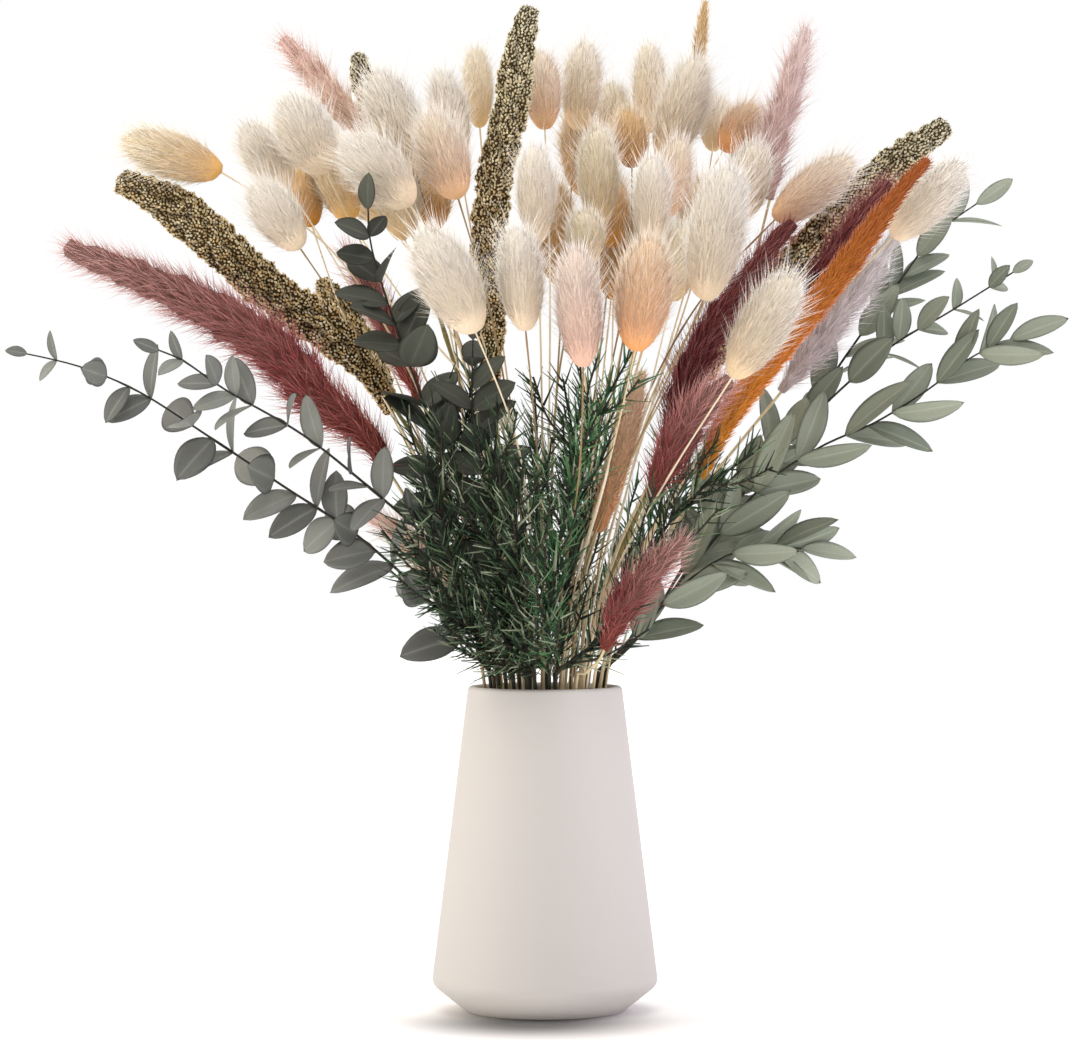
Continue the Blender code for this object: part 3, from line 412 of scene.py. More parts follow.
def grainTree():
    # Grains packed over a core, each a small ball drawn out along the way it points
    maker, given = geometryTree("packedGrains", {
        "Spacing": "number", "Radius": "number", "Long": "number", "Lean": "number", "Spread": "number",
        "Uneven": "number", "Seed": "count", "Finish": "finish", "Core": "finish"})
    seed = given["Seed"]
    spots = maker.node("GeometryNodeDistributePointsOnFaces", {"distribute_method": "POISSON"}, {
        "Mesh": given["Geometry"], "Distance Min": given["Spacing"], "Seed": seed,
        "Density Max": 3.5 / (given["Spacing"] * given["Spacing"])})
    ball = maker.node("GeometryNodeMeshUVSphere", None, {"Segments": 5, "Rings": 2, "Radius": 1})
    loose = maker.random((-1, -1, -1), (1, 1, 1), seed + 1)
    aim = spots["Normal"] + maker.field("growth", "FLOAT_VECTOR") * given["Lean"] + loose * given["Spread"]
    turn = maker.node("FunctionNodeAlignRotationToVector", {"axis": "Z"}, {"Vector": aim})
    vary = given["Radius"] * (1 + maker.random(-1.0, 1.0, seed + 3) * given["Uneven"])
    size = maker.node("ShaderNodeCombineXYZ", None, {"X": vary, "Y": vary, "Z": vary * given["Long"]})
    grown = maker.node("GeometryNodeInstanceOnPoints", None, {
        "Points": spots, "Instance": ball, "Rotation": turn, "Scale": size})
    grown = maker.node("GeometryNodeStoreNamedAttribute", {"data_type": "FLOAT", "domain": "INSTANCE"}, {
        "Geometry": grown, "Name": "shade", "Value": maker.random(0.0, 1.0, seed + 4)})
    grown = maker.node("GeometryNodeRealizeInstances", None, {"Geometry": grown})
    grown = maker.node("GeometryNodeSetShadeSmooth", None, {"Geometry": grown})
    grown = maker.node("GeometryNodeSetMaterial", None, {"Geometry": grown, "Material": given["Finish"]})
    core = maker.node("GeometryNodeSetMaterial", None, {"Geometry": given["Geometry"],
                                                        "Material": given["Core"]})
    return endTree(maker, maker.node("GeometryNodeJoinGeometry", None, {"Geometry": [core, grown]}))


def stemTree():
    # A round stem along a line of points, as thick at each as its own attribute says
    maker, given = geometryTree("roundStem", {"Sides": "count", "Finish": "finish"})
    line = maker.node("GeometryNodeMeshToCurve", None, {"Mesh": given["Geometry"]})
    ring = maker.node("GeometryNodeCurvePrimitiveCircle", None, {"Resolution": given["Sides"], "Radius": 1})
    tube = maker.node("GeometryNodeCurveToMesh", None, {
        "Curve": line, "Profile Curve": ring, "Scale": maker.field("thick"), "Fill Caps": True})
    tube = maker.node("GeometryNodeRealizeInstances", None, {"Geometry": tube})
    tube = maker.node("GeometryNodeSetShadeSmooth", None, {"Geometry": tube})
    return endTree(maker, maker.node("GeometryNodeSetMaterial", None, {
        "Geometry": tube, "Material": given["Finish"]}))


def leafTree():
    # One leaf shape set on points: each holds the way its leaf runs, the way it faces, and its two sizes
    maker, given = geometryTree("setLeaves", {"Leaf": "shape", "Seed": "count", "Finish": "finish"})
    leaf = maker.node("GeometryNodeObjectInfo", None, {"Object": given["Leaf"]})["Geometry"]
    turn = maker.node("FunctionNodeAxesToRotation", {"primary_axis": "Y", "secondary_axis": "Z"}, {
        "Primary Axis": maker.field("axis", "FLOAT_VECTOR"), "Secondary Axis": maker.field("up", "FLOAT_VECTOR")})
    long = maker.field("length")
    size = maker.node("ShaderNodeCombineXYZ", None, {"X": maker.field("width"), "Y": long, "Z": long})
    grown = maker.node("GeometryNodeInstanceOnPoints", None, {
        "Points": given["Geometry"], "Instance": leaf, "Rotation": turn, "Scale": size})
    grown = maker.node("GeometryNodeStoreNamedAttribute", {"data_type": "FLOAT", "domain": "INSTANCE"}, {
        "Geometry": grown, "Name": "shade", "Value": maker.random(0.0, 1.0, given["Seed"])})
    grown = maker.node("GeometryNodeRealizeInstances", None, {"Geometry": grown})
    grown = maker.node("GeometryNodeSetShadeSmooth", None, {"Geometry": grown})
    return endTree(maker, maker.node("GeometryNodeSetMaterial", None, {
        "Geometry": grown, "Material": given["Finish"]}))

# Vase: the wall leans out from the rim to a rounded shoulder and slopes in from there to the flat foot
vaseHeight = 180 * mm
rimRadius = 42.6 * mm
shoulderRadius = 62.8 * mm
shoulderHeight = 15 * mm
footRadius = 44 * mm
wallThickness = 5 * mm
floorThickness = 8 * mm
shoulderRounding = 7 * mm
footRounding = 1.2 * mm
rimRounding = 2.2 * mm
vaseSides = 32

# The front view that the places below are read in
viewDistance = 2.5
eyeHeight = 0.31
depthSpread = 1.2

# Stems: they stand this far above the vase's floor, keep this far apart, and stay within these radii in
# its mouth and on its floor. A stem with no other bound to it leans as if it came from the crossing
touchGap = 0.3 * mm
clearGap = 0.9 * mm
mouthRadius = rimRadius - wallThickness - 3.5 * mm
standRadius = 40 * mm
standShare = 0.8
crossingHeight = 100 * mm
fullLean = 0.55
stemPull = 0.9
stemSides = 4
leafySides = 4
thinStem = 0.8 * mm
# A fork leaves its main stem here, and the two may touch below kinHeight
forkHeight = 16 * mm
kinHeight = 48 * mm

# How the stems give way to each other: spacing of the points that are tested, how far a stem may bow,
# rounds, rounds between searches for near pairs and how near those are, and size of each move
stemStep = 75 * mm
headStep = 14 * mm
bowLimit = 14 * mm
settleRounds = 260
searchRounds = 8
searchSlack = 12 * mm
moveShare = 0.8
leastWeight = 0.25
seed = 7

# Each bunny tail: (x, z) of the head's foot and of its tip as they line up from the front, how far back
# it stands, its width, all in mm, and its colour
bunnyTails = [
    ((-180, 465), (-235, 483), -30, 25, "honey"),
    ((-142, 456), (-167, 491), 10, 25, "cream"),
    ((-136, 423), (-161, 458), -45, 25, "cream"),
    ((-122, 465), (-143, 506), -10, 32, "cream"),
    ((-129, 435), (-136, 470), 35, 19, "amber"),
    ((-71, 463), (-94, 521), 20, 31, "cream"),
    ((-75, 447), (-109, 483), -30, 31, "cream"),
    ((-48, 473), (-58, 522), 50, 22, "cream"),
    ((-48, 450), (-64, 496), 0, 28, "peach"),
    ((-36, 490), (-38, 535), 90, 18, "straw"),
    ((-39, 377), (-68, 433), -95, 32, "cream"),
    ((-11, 378), (-16, 435), -90, 24, "cream"),
    ((-4, 427), (-6, 481), -45, 21, "cream"),
    ((0, 489), (-3, 532), 60, 22, "peach"),
    ((18, 489), (23, 537), 75, 23, "beige"),
    ((39, 485), (37, 514), 105, 20, "beige"),
    ((30, 437), (29, 490), 10, 23, "straw"),
    ((21, 358), (16, 424), -105, 24, "rose"),
    ((50, 367), (59, 429), -95, 30, "apricot"),
    ((58, 487), (58, 537), 95, 20, "beige"),
    ((66, 471), (86, 529), 55, 28, "beige"),
    ((68, 441), (75, 484), 5, 20, "peach"),
    ((58, 427), (60, 474), -35, 21, "cream"),
    ((88, 395), (102, 469), -85, 31, "cream"),
    ((99, 477), (117, 502), 60, 22, "apricot"),
    ((93, 477), (96, 508), 90, 18, "beige"),
    ((128, 439), (171, 473), 10, 24, "peach"),
    ((193, 429), (233, 470), -25, 24, "cream"),
    ((104, 352), (138, 408), -95, 27, "beige"),
    ((48, 467), (46, 499), 45, 20, "amber"),
    ((24, 415), (21, 443), -20, 21, "straw"),
    ((-61, 433), (-63, 468), 40, 21, "amber"),
    ((-89, 439), (-117, 465), 60, 22, "straw"),
    ((110, 440), (117, 481), 20, 23, "beige"),
    ((70, 394), (77, 436), -25, 23, "straw"),
    ((37, 424), (38, 463), 40, 20, "amber"),
]
# Bunny tails that fork from the foot of another, to keep one body for each pair: branch, then main stem
forkedTails = {4: 1, 32: 5, 31: 7, 29: 19, 35: 15, 30: 16, 33: 25}

# Long heads: the middle line from foot to tip as seen from the front, depth at foot and tip, width, colour
milletHeads = [
    ([(-89, 343), (-111, 370), (-150, 397), (-178, 422), (-207, 446), (-235, 460)], -5, -20, 26, "grain"),
    ([(-30, 348), (-31, 394), (-31, 432), (-27, 466), (-19, 499), (-15, 527), (-9, 555)], 0, 25, 22, "grain"),
    ([(88, 351), (102, 377), (124, 399), (147, 424), (173, 451), (199, 474), (222, 490)], 20, 45, 22,
     "grain"),
    ([(-81, 455), (-95, 499), (-104, 529)], 75, 95, 17, "grain"),
    ([(-85, 332), (-96, 357), (-109, 383), (-124, 404)], 30, 45, 18, "grain"),
]
reedPlumes = [
    ([(-89, 303), (-99, 319), (-124, 339), (-150, 366), (-183, 387), (-225, 407), (-265, 422)], -30, -60, 34,
     "rosewood"),
    ([(-96, 480), (-111, 499), (-126, 517), (-145, 538)], 45, 60, 21, "blush"),
    ([(125, 450), (128, 484), (136, 512), (145, 545)], 35, 50, 21, "mauve"),
    ([(66, 306), (75, 338), (89, 372), (111, 404), (136, 437)], -5, 5, 25, "burgundy"),
    ([(58, 284), (68, 305), (83, 330), (102, 350)], -55, -75, 25, "rosewood"),
    ([(33, 201), (40, 217), (55, 239), (76, 261)], -45, -70, 21, "rosewood"),
    ([(141, 388), (154, 409), (172, 434), (190, 459)], -5, -5, 20, "burgundy"),
    ([(131, 343), (148, 366), (169, 394), (194, 429)], 40, 50, 22, "pearl"),
    ([(-43, 214), (-58, 239), (-75, 261), (-99, 276)], 20, 35, 20, "blush"),
    ([(-69, 338), (-83, 369), (-96, 397), (-111, 423)], 55, 75, 20, "rosewood"),
]
foxtails = [
    ([(86, 296), (102, 330), (130, 367), (166, 412), (197, 455), (212, 471)], -55, -45, 15, "orange"),
    ([(84, 505), (86, 535), (89, 559)], 115, 120, 7, "orange"),
    ([(29, 266), (36, 289), (46, 322), (54, 354)], -35, -55, 13, "orange"),
]

# Eucalyptus sprigs: middle line above the vase, depth at its two ends, leaf length, width over length, angle
# off the stem in radians, step between pairs, roll of the first pair in degrees, where along the line the
# leaves begin, and size of the last leaves as a share. A fork names the sprig that it leaves at the foot
eucalyptusSprigs = [
    dict(route=[(-42, 201), (-69, 232), (-105, 264), (-147, 292), (-189, 320), (-225, 343), (-258, 357),
                (-287, 364)],
         back=(-28, -75), leaf=34, slim=0.62, lift=1.0, step=25.5, roll=20, start=0.03, tip=0.35),
    dict(route=[(-57, 255), (-95, 288), (-134, 319), (-177, 344), (-200, 360), (-214, 366)],
         back=(-40, -100), leaf=30, slim=0.46, lift=0.9, step=22, roll=60, tip=0.5),
    dict(route=[(-42, 240), (-54, 290), (-68, 338), (-84, 383), (-96, 422), (-98, 444)],
         back=(-18, -48), leaf=33, slim=0.6, lift=0.95, step=23, roll=35, tip=0.6),
    dict(route=[(58, 214), (84, 256), (138, 322), (171, 369), (195, 402), (216, 430), (239, 447)],
         back=(28, 90), leaf=40, slim=0.34, lift=0.5, step=27, roll=10, start=0.2, tip=0.7),
    dict(route=[(62, 222), (116, 286), (152, 312), (183, 326), (212, 344), (236, 362), (258, 372)],
         back=(5, 35), leaf=46, slim=0.33, lift=0.5, step=30, roll=50, start=0.1, tip=0.8),
    dict(route=[(60, 216), (97, 270), (141, 322), (189, 366), (222, 386), (259, 409)],
         back=(22, 60), leaf=36, slim=0.46, lift=0.7, step=25, roll=75, start=0.1, tip=0.4),
    dict(route=[(51, 206), (72, 232), (100, 252), (125, 257), (142, 256)],
         back=(0, 10), leaf=40, slim=0.38, lift=0.6, step=22, roll=30, tip=0.8),
    dict(route=[(-24, 240), (-32, 285), (-40, 330), (-40, 372)],
         back=(-30, -52), leaf=30, slim=0.55, lift=0.95, step=21, roll=0, tip=0.6, fork=2),
]
# Needle foliage: middle line above the vase and depth at its two ends
needleSprigs = [
    ([(-38, 215), (-49, 236), (-58, 283), (-62, 335)], -38, -65),
    ([(-34, 205), (-48, 222), (-64, 244), (-80, 272)], -42, -75),
    ([(-22, 210), (-26, 245), (-29, 289), (-26, 336)], -45, -78),
    ([(-8, 210), (-10, 235), (-4, 283), (-8, 330)], 5, 30),
    ([(2, 215), (6, 250), (20, 311), (48, 365)], -50, -85),
    ([(9, 210), (12, 239), (18, 294), (10, 350)], -20, -40),
    ([(32, 207), (46, 233), (77, 280), (120, 312)], -45, -80),
    ([(26, 208), (37, 228), (62, 272), (86, 318)], 25, 60),
    ([(-20, 212), (-26, 238), (-38, 285), (-46, 335)], 45, 85),
    ([(10, 212), (14, 240), (24, 285), (26, 338)], 50, 90),
    ([(-12, 208), (-14, 230), (-16, 268), (-12, 305)], -48, -85),
    ([(-16, 210), (-28, 240), (-46, 290), (-40, 355)], -10, -25),
]
forkedSprigs = {1: 0, 3: 2, 5: 4, 7: 6, 9: 8, 10: 4, 11: 0}
needleLength = 17 * mm
needleSpacing = 11.8 * mm
leafThickness = 0.9 * mm
# Where a leaf blade turns, as shares of its length, with half its width there as a share of the whole
bladeRows = [(0.30, 0.46), (0.66, 0.44)]

# Bodies of the heads: side count, spacing of the raised rows, depth of the hollows between the raised
# points as a share of the radius, how far the points lean towards the tip, and stem radius
headForms = {
    "bunnyTail": dict(sides=8, rowGap=10 * mm, hollow=0.70, lean=5.0 * mm, stem=1.0 * mm),
    "millet": dict(sides=8, rowGap=9.8 * mm, hollow=0.80, lean=1.5 * mm, stem=1.9 * mm),
    "plume": dict(sides=8, rowGap=12 * mm, hollow=0.42, lean=10 * mm, stem=1.5 * mm),
    "foxtail": dict(sides=6, rowGap=8.5 * mm, hollow=0.60, lean=5 * mm, stem=1.3 * mm),
    "eucalyptus": dict(stem=1.5 * mm),
    "needles": dict(stem=1.3 * mm),
}
coverShare = 0.92
sprigRadius = 2.2 * mm

# What leaves keep clear of: gap to other plants and to their own, how thick a placed blade or needle counts,
# and how far above the lip they stay
leafGap = 1.3 * mm
ownGap = 0.3 * mm
bladeCover = 2.2 * mm
needleCover = 0.9 * mm
coverStep = 3 * mm
lipGap = 5 * mm
# How leaves vary: share of their size, and angle off the stem, which is never less than leastLift. They
# grow smaller from shrinkFrom along the stem
sizeSpread = 0.1
liftSpread = 0.17
leastLift = 0.42
shrinkFrom = 0.65
finePoints = 200
# How leaves grow: turn from one band to the next, which of its sides bear leaves, roll, arch, the share of
# its length that may lie close to its own stem, band height, and the ways tried to stay clear, as turned
# aside, grown by and lifted further
leafForms = {
    "eucalyptus": dict(
        turn=0, faces=lambda k: (k % 2, k % 2 + 2), roll=0.3, arch=0.10, free=0.12, band=2.4 * mm,
        tries=[(turn, grow, rise) for grow in (1, 0.82, 0.66) for rise in (0, -0.2, 0.3)
               for turn in (0, 0.28, -0.28)]),
    "needles": dict(
        turn=math.pi / 4, faces=lambda k: (0, 1, 2, 3), roll=0, arch=0, free=0.32, band=2.0 * mm,
        tries=[(turn, grow, rise) for grow in (1, 0.7) for rise in (0, -0.25) for turn in (0, 0.35, -0.35)]),
}


def unit(v):
    return v / np.maximum(np.linalg.norm(v, axis=-1, keepdims=True), 1e-12)


def fromFront(x, z, back):
    # A thing set back by this much stands further out along the line of sight that it is seen on
    grow = 1 + back / viewDistance
    return np.array([x * grow, back, eyeHeight + (z - eyeHeight) * grow])


def throughPoints(points, count):
    # A smooth curve through the points, as count points evenly spaced along it
    points = np.asarray(points, float)
    ends = np.vstack([2 * points[0] - points[1], points, 2 * points[-1] - points[-2]])
    fine = []
    for a, b, c, d in zip(ends[:-3], ends[1:-2], ends[2:-1], ends[3:]):
        t = np.linspace(0, 1, 12, endpoint=False)[:, None]
        fine.append(0.5 * (2 * b + (c - a) * t + (2 * a - 5 * b + 4 * c - d) * t ** 2
                           + (3 * b - a - 3 * c + d) * t ** 3))
    fine = np.vstack(fine + [points[-1:]])
    along = np.concatenate([[0], np.cumsum(np.linalg.norm(np.diff(fine, axis=0), axis=1))])
    at = np.linspace(0, along[-1], count)
    return np.stack([np.interp(at, along, fine[:, k]) for k in range(3)], axis=1)


def lineLength(points):
    return float(np.linalg.norm(np.diff(points, axis=0), axis=1).sum())


def makePlant(kind, name, route, depths, width, tint, **more):
    # The route is read from the front; depth runs evenly from its foot to its tip
    route = np.asarray(route, float) * mm
    steps = np.concatenate([[0], np.cumsum(np.linalg.norm(np.diff(route, axis=0), axis=1))])
    back = np.interp(steps, [0, steps[-1]], np.asarray(depths) * mm * depthSpread)
    line = np.array([fromFront(x, z, y) for (x, z), y in zip(route, back)])
    if len(line) == 2:
        line = np.array([line[0], line.mean(axis=0), line[1]])
    return dict(kind=kind, name=name, line=line, width=width * mm, tint=tint,
                stem=headForms[kind]["stem"], **more)


def headRadius(kind, share, width):
    # Outer radius at a share of the way from the head's foot to its tip
    share = np.clip(share, 0, 1)
    if kind == "bunnyTail":
        return width / 2 * np.maximum(np.sin(np.pi * share ** 0.82), 0) ** 0.55
    if kind == "millet":
        return width / 2 * np.clip(np.minimum(0.45 + 2.6 * share, 0.55 + 2.4 * (1 - share)), 0, 1)
    if kind == "plume":
        return width / 2 * np.clip(np.minimum(0.35 + 2.2 * share, 0.45 + 1.3 * (1 - share)), 0, 1)
    if kind == "foxtail":
        return width / 2 * np.clip(np.minimum(0.5 + 2.5 * share, 0.4 + 1.8 * (1 - share)), 0, 1)
    return np.full_like(share, sprigRadius)


def gatherPlants():
    plants = []
    for n, (foot, tip, back, width, tint) in enumerate(bunnyTails):
        plants.append(makePlant("bunnyTail", f"bunny_tail_{n + 1:02d}", [foot, tip], (back, back * 1.12),
                                width, tint, forkOf=forkedTails.get(n)))
    for kind, label, rows in (("millet", "millet", milletHeads), ("plume", "reed_plume", reedPlumes),
                              ("foxtail", "foxtail", foxtails)):
        for n, (route, near, far, width, tint) in enumerate(rows):
            plants.append(makePlant(kind, f"{label}_{n + 1}", route, (near, far), width, tint, forkOf=None))
    first = len(plants)
    for n, sprig in enumerate(eucalyptusSprigs):
        fork = sprig.get("fork")
        plants.append(makePlant("eucalyptus", f"eucalyptus_{n + 1}", sprig["route"], sprig["back"], 4,
                                "eucalyptus", forkOf=None if fork is None else first + fork,
                                leaf=sprig["leaf"] * mm, slim=sprig["slim"], lift=sprig["lift"],
                                step=sprig["step"] * mm, start=sprig.get("start", 0.0),
                                roll=math.radians(sprig["roll"]), tip=sprig["tip"]))
    first = len(plants)
    for n, (route, near, far) in enumerate(needleSprigs):
        main = forkedSprigs.get(n)
        plants.append(makePlant("needles", f"needle_foliage_{n + 1}", route, (near, far), 4, "needles",
                                forkOf=None if main is None else first + main, leaf=needleLength, slim=0.1,
                                lift=0.75, step=needleSpacing, start=0.02, roll=0.0, tip=0.7))
    return plants


def closestPoints(a, b, c, d):
    # Shares along segments a-b and c-d of their nearest points, for many pairs at once
    u, v, w = b - a, d - c, a - c
    uu, uv, vv = (u * u).sum(1), (u * v).sum(1), (v * v).sum(1)
    uw, vw = (u * w).sum(1), (v * w).sum(1)
    room = np.maximum(uu * vv - uv * uv, 1e-18)
    s = np.clip((uv * vw - vv * uw) / room, 0, 1)
    t = np.clip((uv * s + vw) / np.maximum(vv, 1e-18), 0, 1)
    s = np.clip((uv * t - uw) / np.maximum(uu, 1e-18), 0, 1)
    return s, t


def stemRows(plant):
    # One plant's points from its foot to its tip. Each row says how far the point moves with the foot, the
    # mouth, the bow and the head; what stays fixed and how thick the plant is there come with it
    head = throughPoints(plant["line"], max(4, int(math.ceil(lineLength(plant["line"]) / headStep)) + 1))
    base, aim = head[0], unit(head[1] - head[0])
    lean = base[:2] / (base[2] - crossingHeight)
    plant["mouth"] = mouthRadius * unit(lean) * min(1, np.linalg.norm(lean) / fullLean)
    plant["foot"] = plant["mouth"] * standShare
    start = floorThickness + touchGap if plant["forkOf"] is None else forkHeight
    rise = vaseHeight - start
    rows, fixed, thick = [], [], []
    for share in (0, 0.5):
        rows.append([1 - share, share, 0, 0])
        fixed.append([0, 0, start + rise * share])
        thick.append(plant["stem"])
    # From the mouth to the head runs one cubic curve, which leaves the mouth along the stem inside
    chord = np.linalg.norm(base - np.array([*plant["mouth"], vaseHeight]))
    pull = stemPull * chord
    above = max(3, int(round(chord / stemStep)))
    for k in range(above):
        t = k / above
        fromMouth, alongMouth = 2 * t ** 3 - 3 * t ** 2 + 1, t ** 3 - 2 * t ** 2 + t
        toHead, alongHead = -2 * t ** 3 + 3 * t ** 2, t ** 3 - t ** 2
        up = pull * alongMouth / rise
        rows.append([-up, fromMouth + up, math.sin(math.pi * t) ** 2, toHead])
        flat = toHead * base[:2] + alongHead * pull * aim[:2]
        height = fromMouth * vaseHeight + up * rise + toHead * base[2] + alongHead * pull * aim[2]
        fixed.append([*flat, height])
        thick.append(plant["stem"])
    plant["headStart"] = len(rows)
    # A head counts as a little blunter than it is at its ends
    shares = np.clip(np.linspace(0, 1, len(head)), 0.06, 0.94)
    for point, cover in zip(head, headRadius(plant["kind"], shares, plant["width"]) * coverShare):
        rows.append([0, 0, 0, 1])
        fixed.append(point)
        thick.append(max(cover, plant["stem"]))
    return rows, fixed, thick


def settleStems(plants):
    # Stems stand on the vase's floor, lean in its mouth and bow aside or stand further forward or back
    # until no plant crosses another. Each point of a stem moves with its foot, mouth, bow and head
    count = len(plants)
    made = [stemRows(plant) for plant in plants]
    owner = np.repeat(np.arange(count), [len(rows) for rows, _, _ in made])
    weights, fixed, radii = (np.concatenate([np.array(m[k]) for m in made]) for k in range(3))
    standOn = np.array([n if p["forkOf"] is None else p["forkOf"] for n, p in enumerate(plants)])
    feet, mouths = (np.array([p[end] for p in plants]) for end in ("foot", "mouth"))
    bows, backs = np.zeros((count, 2)), np.zeros(count)
    first = np.flatnonzero(owner[:-1] == owner[1:])
    ones, twos = np.triu_indices(len(first), 1)
    apart = owner[first[ones]] != owner[first[twos]]
    ones, twos = ones[apart], twos[apart]
    thickness = np.maximum(radii[first], radii[first + 1])
    kin = standOn[owner[first[ones]]] == standOn[owner[first[twos]]]
    need = thickness[ones] + thickness[twos] + clearGap

    def places():
        flat = (weights[:, :1] * feet[standOn[owner]] + weights[:, 1:2] * mouths[owner]
                + weights[:, 2:3] * bows[owner])
        back = weights[:, 3] * backs[owner]
        return fixed + np.stack([flat[:, 0], flat[:, 1] + back, np.zeros(len(owner))], axis=1)

    for turn in range(settleRounds):
        points = places()
        a, b = points[first], points[first + 1]
        if turn % searchRounds == 0:
            middle, half = (a + b) / 2, np.linalg.norm(b - a, axis=1) / 2
            between = np.linalg.norm(middle[ones] - middle[twos], axis=1)
            near = between < half[ones] + half[twos] + need + searchSlack
            near &= ~(kin & (np.minimum(middle[ones, 2], middle[twos, 2]) < kinHeight))
            nearOnes, nearTwos, nearNeed = ones[near], twos[near], need[near]
        s, t = closestPoints(a[nearOnes], b[nearOnes], a[nearTwos], b[nearTwos])
        between = ((a[nearOnes] + (b[nearOnes] - a[nearOnes]) * s[:, None])
                   - (a[nearTwos] + (b[nearTwos] - a[nearTwos]) * t[:, None]))
        short = np.maximum(nearNeed - np.linalg.norm(between, axis=1), 0)
        hit = short > 0
        if not hit.any() and turn % searchRounds:
            break
        # Each of the two gives way by half, and mostly level
        away = between[hit] * [1, 1, 0.3]
        away[np.linalg.norm(away[:, :2], axis=1) < 1e-6, 1] = 1e-3
        shove = unit(away) * short[hit][:, None] * 0.5
        push = np.zeros_like(points)
        for piece, share, way in ((nearOnes[hit], s[hit], shove), (nearTwos[hit], t[hit], -shove)):
            np.add.at(push, first[piece], way * (1 - share)[:, None])
            np.add.at(push, first[piece] + 1, way * share[:, None])
        # Each way of giving moves by the mean of the shoves on it, weighed by how far it carries them
        touched = (np.abs(push).sum(1) > 0)[:, None] * weights
        for column, mover, target in ((0, standOn[owner], feet), (1, owner, mouths), (2, owner, bows)):
            total, weight = np.zeros_like(target), np.zeros(count)
            np.add.at(total, mover, touched[:, column:column + 1] * push[:, :2])
            np.add.at(weight, mover, touched[:, column] ** 2)
            target += total / np.maximum(weight, leastWeight)[:, None] * moveShare
        total, weight = np.zeros(count), np.zeros(count)
        np.add.at(total, owner, touched[:, 3] * push[:, 1])
        np.add.at(weight, owner, touched[:, 3] ** 2)
        backs += total / np.maximum(weight, leastWeight)
        for target, limit in ((mouths, mouthRadius), (feet, standRadius), (bows, bowLimit)):
            far = np.linalg.norm(target, axis=1)
            target *= np.minimum(1, limit / np.maximum(far, 1e-9))[:, None]
    # To a micrometre, so that every machine goes on from the same places
    points = np.round(places(), 6)
    for n, plant in enumerate(plants):
        plant["spine"], plant["thick"] = points[owner == n], radii[owner == n]
    for plant in plants:
        if plant["forkOf"] is not None:
            main = plants[plant["forkOf"]]["spine"]
            share = (forkHeight - main[0, 2]) / (main[1, 2] - main[0, 2])
            plant["spine"][0] = main[0] + (main[1] - main[0]) * share


def frameAlong(points):
    # Tangents and two crosswise directions that turn as little as possible along the points
    steps = unit(np.diff(points, axis=0))
    tangents = unit(np.vstack([steps[:1], steps[:-1] + steps[1:], steps[-1:]]))
    side = unit(np.cross(tangents[0], [0.0, 1.0, 0.05]))
    sides = []
    for tangent in tangents:
        side = unit(side - tangent * (side @ tangent))
        sides.append(side)
    sides = np.array(sides)
    return tangents, sides, np.cross(tangents, sides)


def leafyLine(plant):
    # The part of a stem that bears leaves, finely divided, with its frames carried up from the foot
    spine, start = plant["spine"], plant["headStart"]
    fine = throughPoints(spine[start:], finePoints)
    frames = frameAlong(np.vstack([spine[:start], fine]))
    return fine, *(f[start:] for f in frames)


class Obstacles:
    # What a new leaf has to stay clear of: points along every stem and head and over every placed leaf,
    # each with a radius and the number of its plant
    def __init__(self, plants):
        points, radii, owners = [], [], []
        for n, plant in enumerate(plants):
            for a, b, r in zip(plant["spine"][:-1], plant["spine"][1:],
                               np.maximum(plant["thick"][:-1], plant["thick"][1:])):
                steps = np.arange(0, 1, coverStep / np.linalg.norm(b - a))[:, None]
                points.append(a + (b - a) * steps)
                radii.append(np.full(len(steps), r))
                owners.append(np.full(len(steps), n))
        self.points, self.radii, self.owners = (np.concatenate(x) for x in (points, radii, owners))

    def clear(self, leaf, family):
        # Near its root a leaf may touch its own plant, and only there
        tip = bladePoint(leaf, 1, 0)
        if min(tip[2], bladePoint(leaf, 0.5, 0)[2]) < vaseHeight + lipGap:
            return False
        middle, outer = (leaf["root"] + tip) / 2, (leaf["length"] + leaf["width"]) / 2
        near = np.linalg.norm(self.points - middle, axis=1) < outer + self.radii + leafGap
        own = np.isin(self.owners[near], family)
        rel, gap = self.points[near] - leaf["root"], self.radii[near] + np.where(own, ownGap, leafGap)
        along = rel @ leaf["axis"] / leaf["length"]
        across = np.abs(rel @ leaf["across"])
        height = np.abs(rel @ leaf["up"] + leaf["arch"] * leaf["length"] * np.clip(along, 0, 1) ** 2)
        (low, lowHalf), (high, highHalf) = bladeRows
        half = np.interp(along, [0, low, high, 1], [0.1, lowHalf, highHalf, 0]) * leaf["width"]
        inside = (along > np.where(own, leaf["free"], 0)) & (along < 1 + gap / leaf["length"])
        return not (inside & (across < half + gap) & (height < leafThickness / 2 + gap)).any()

    def add(self, leaf, owner, broad):
        across, cover = ((-0.42, -0.14, 0.14, 0.42), bladeCover) if broad else ((0,), needleCover)
        grid = [bladePoint(leaf, along, side) for along in np.linspace(0.2, 0.95, 8) for side in across]
        self.points = np.vstack([self.points, grid])
        self.radii = np.concatenate([self.radii, np.full(len(grid), cover)])
        self.owners = np.concatenate([self.owners, np.full(len(grid), owner)])


def bladePoint(leaf, along, across):
    # A point on a leaf's middle sheet: it arches back along its length
    length, width = leaf["length"], leaf["width"]
    rise = leaf["arch"] * length * along ** 2
    return (leaf["root"] + leaf["axis"] * (along * length) + leaf["across"] * (across * width)
            - leaf["up"] * rise)


def turned(v, axis, angle):
    return (v * math.cos(angle) + np.cross(axis, v) * math.sin(angle)
            + axis * (axis @ v) * (1 - math.cos(angle)))


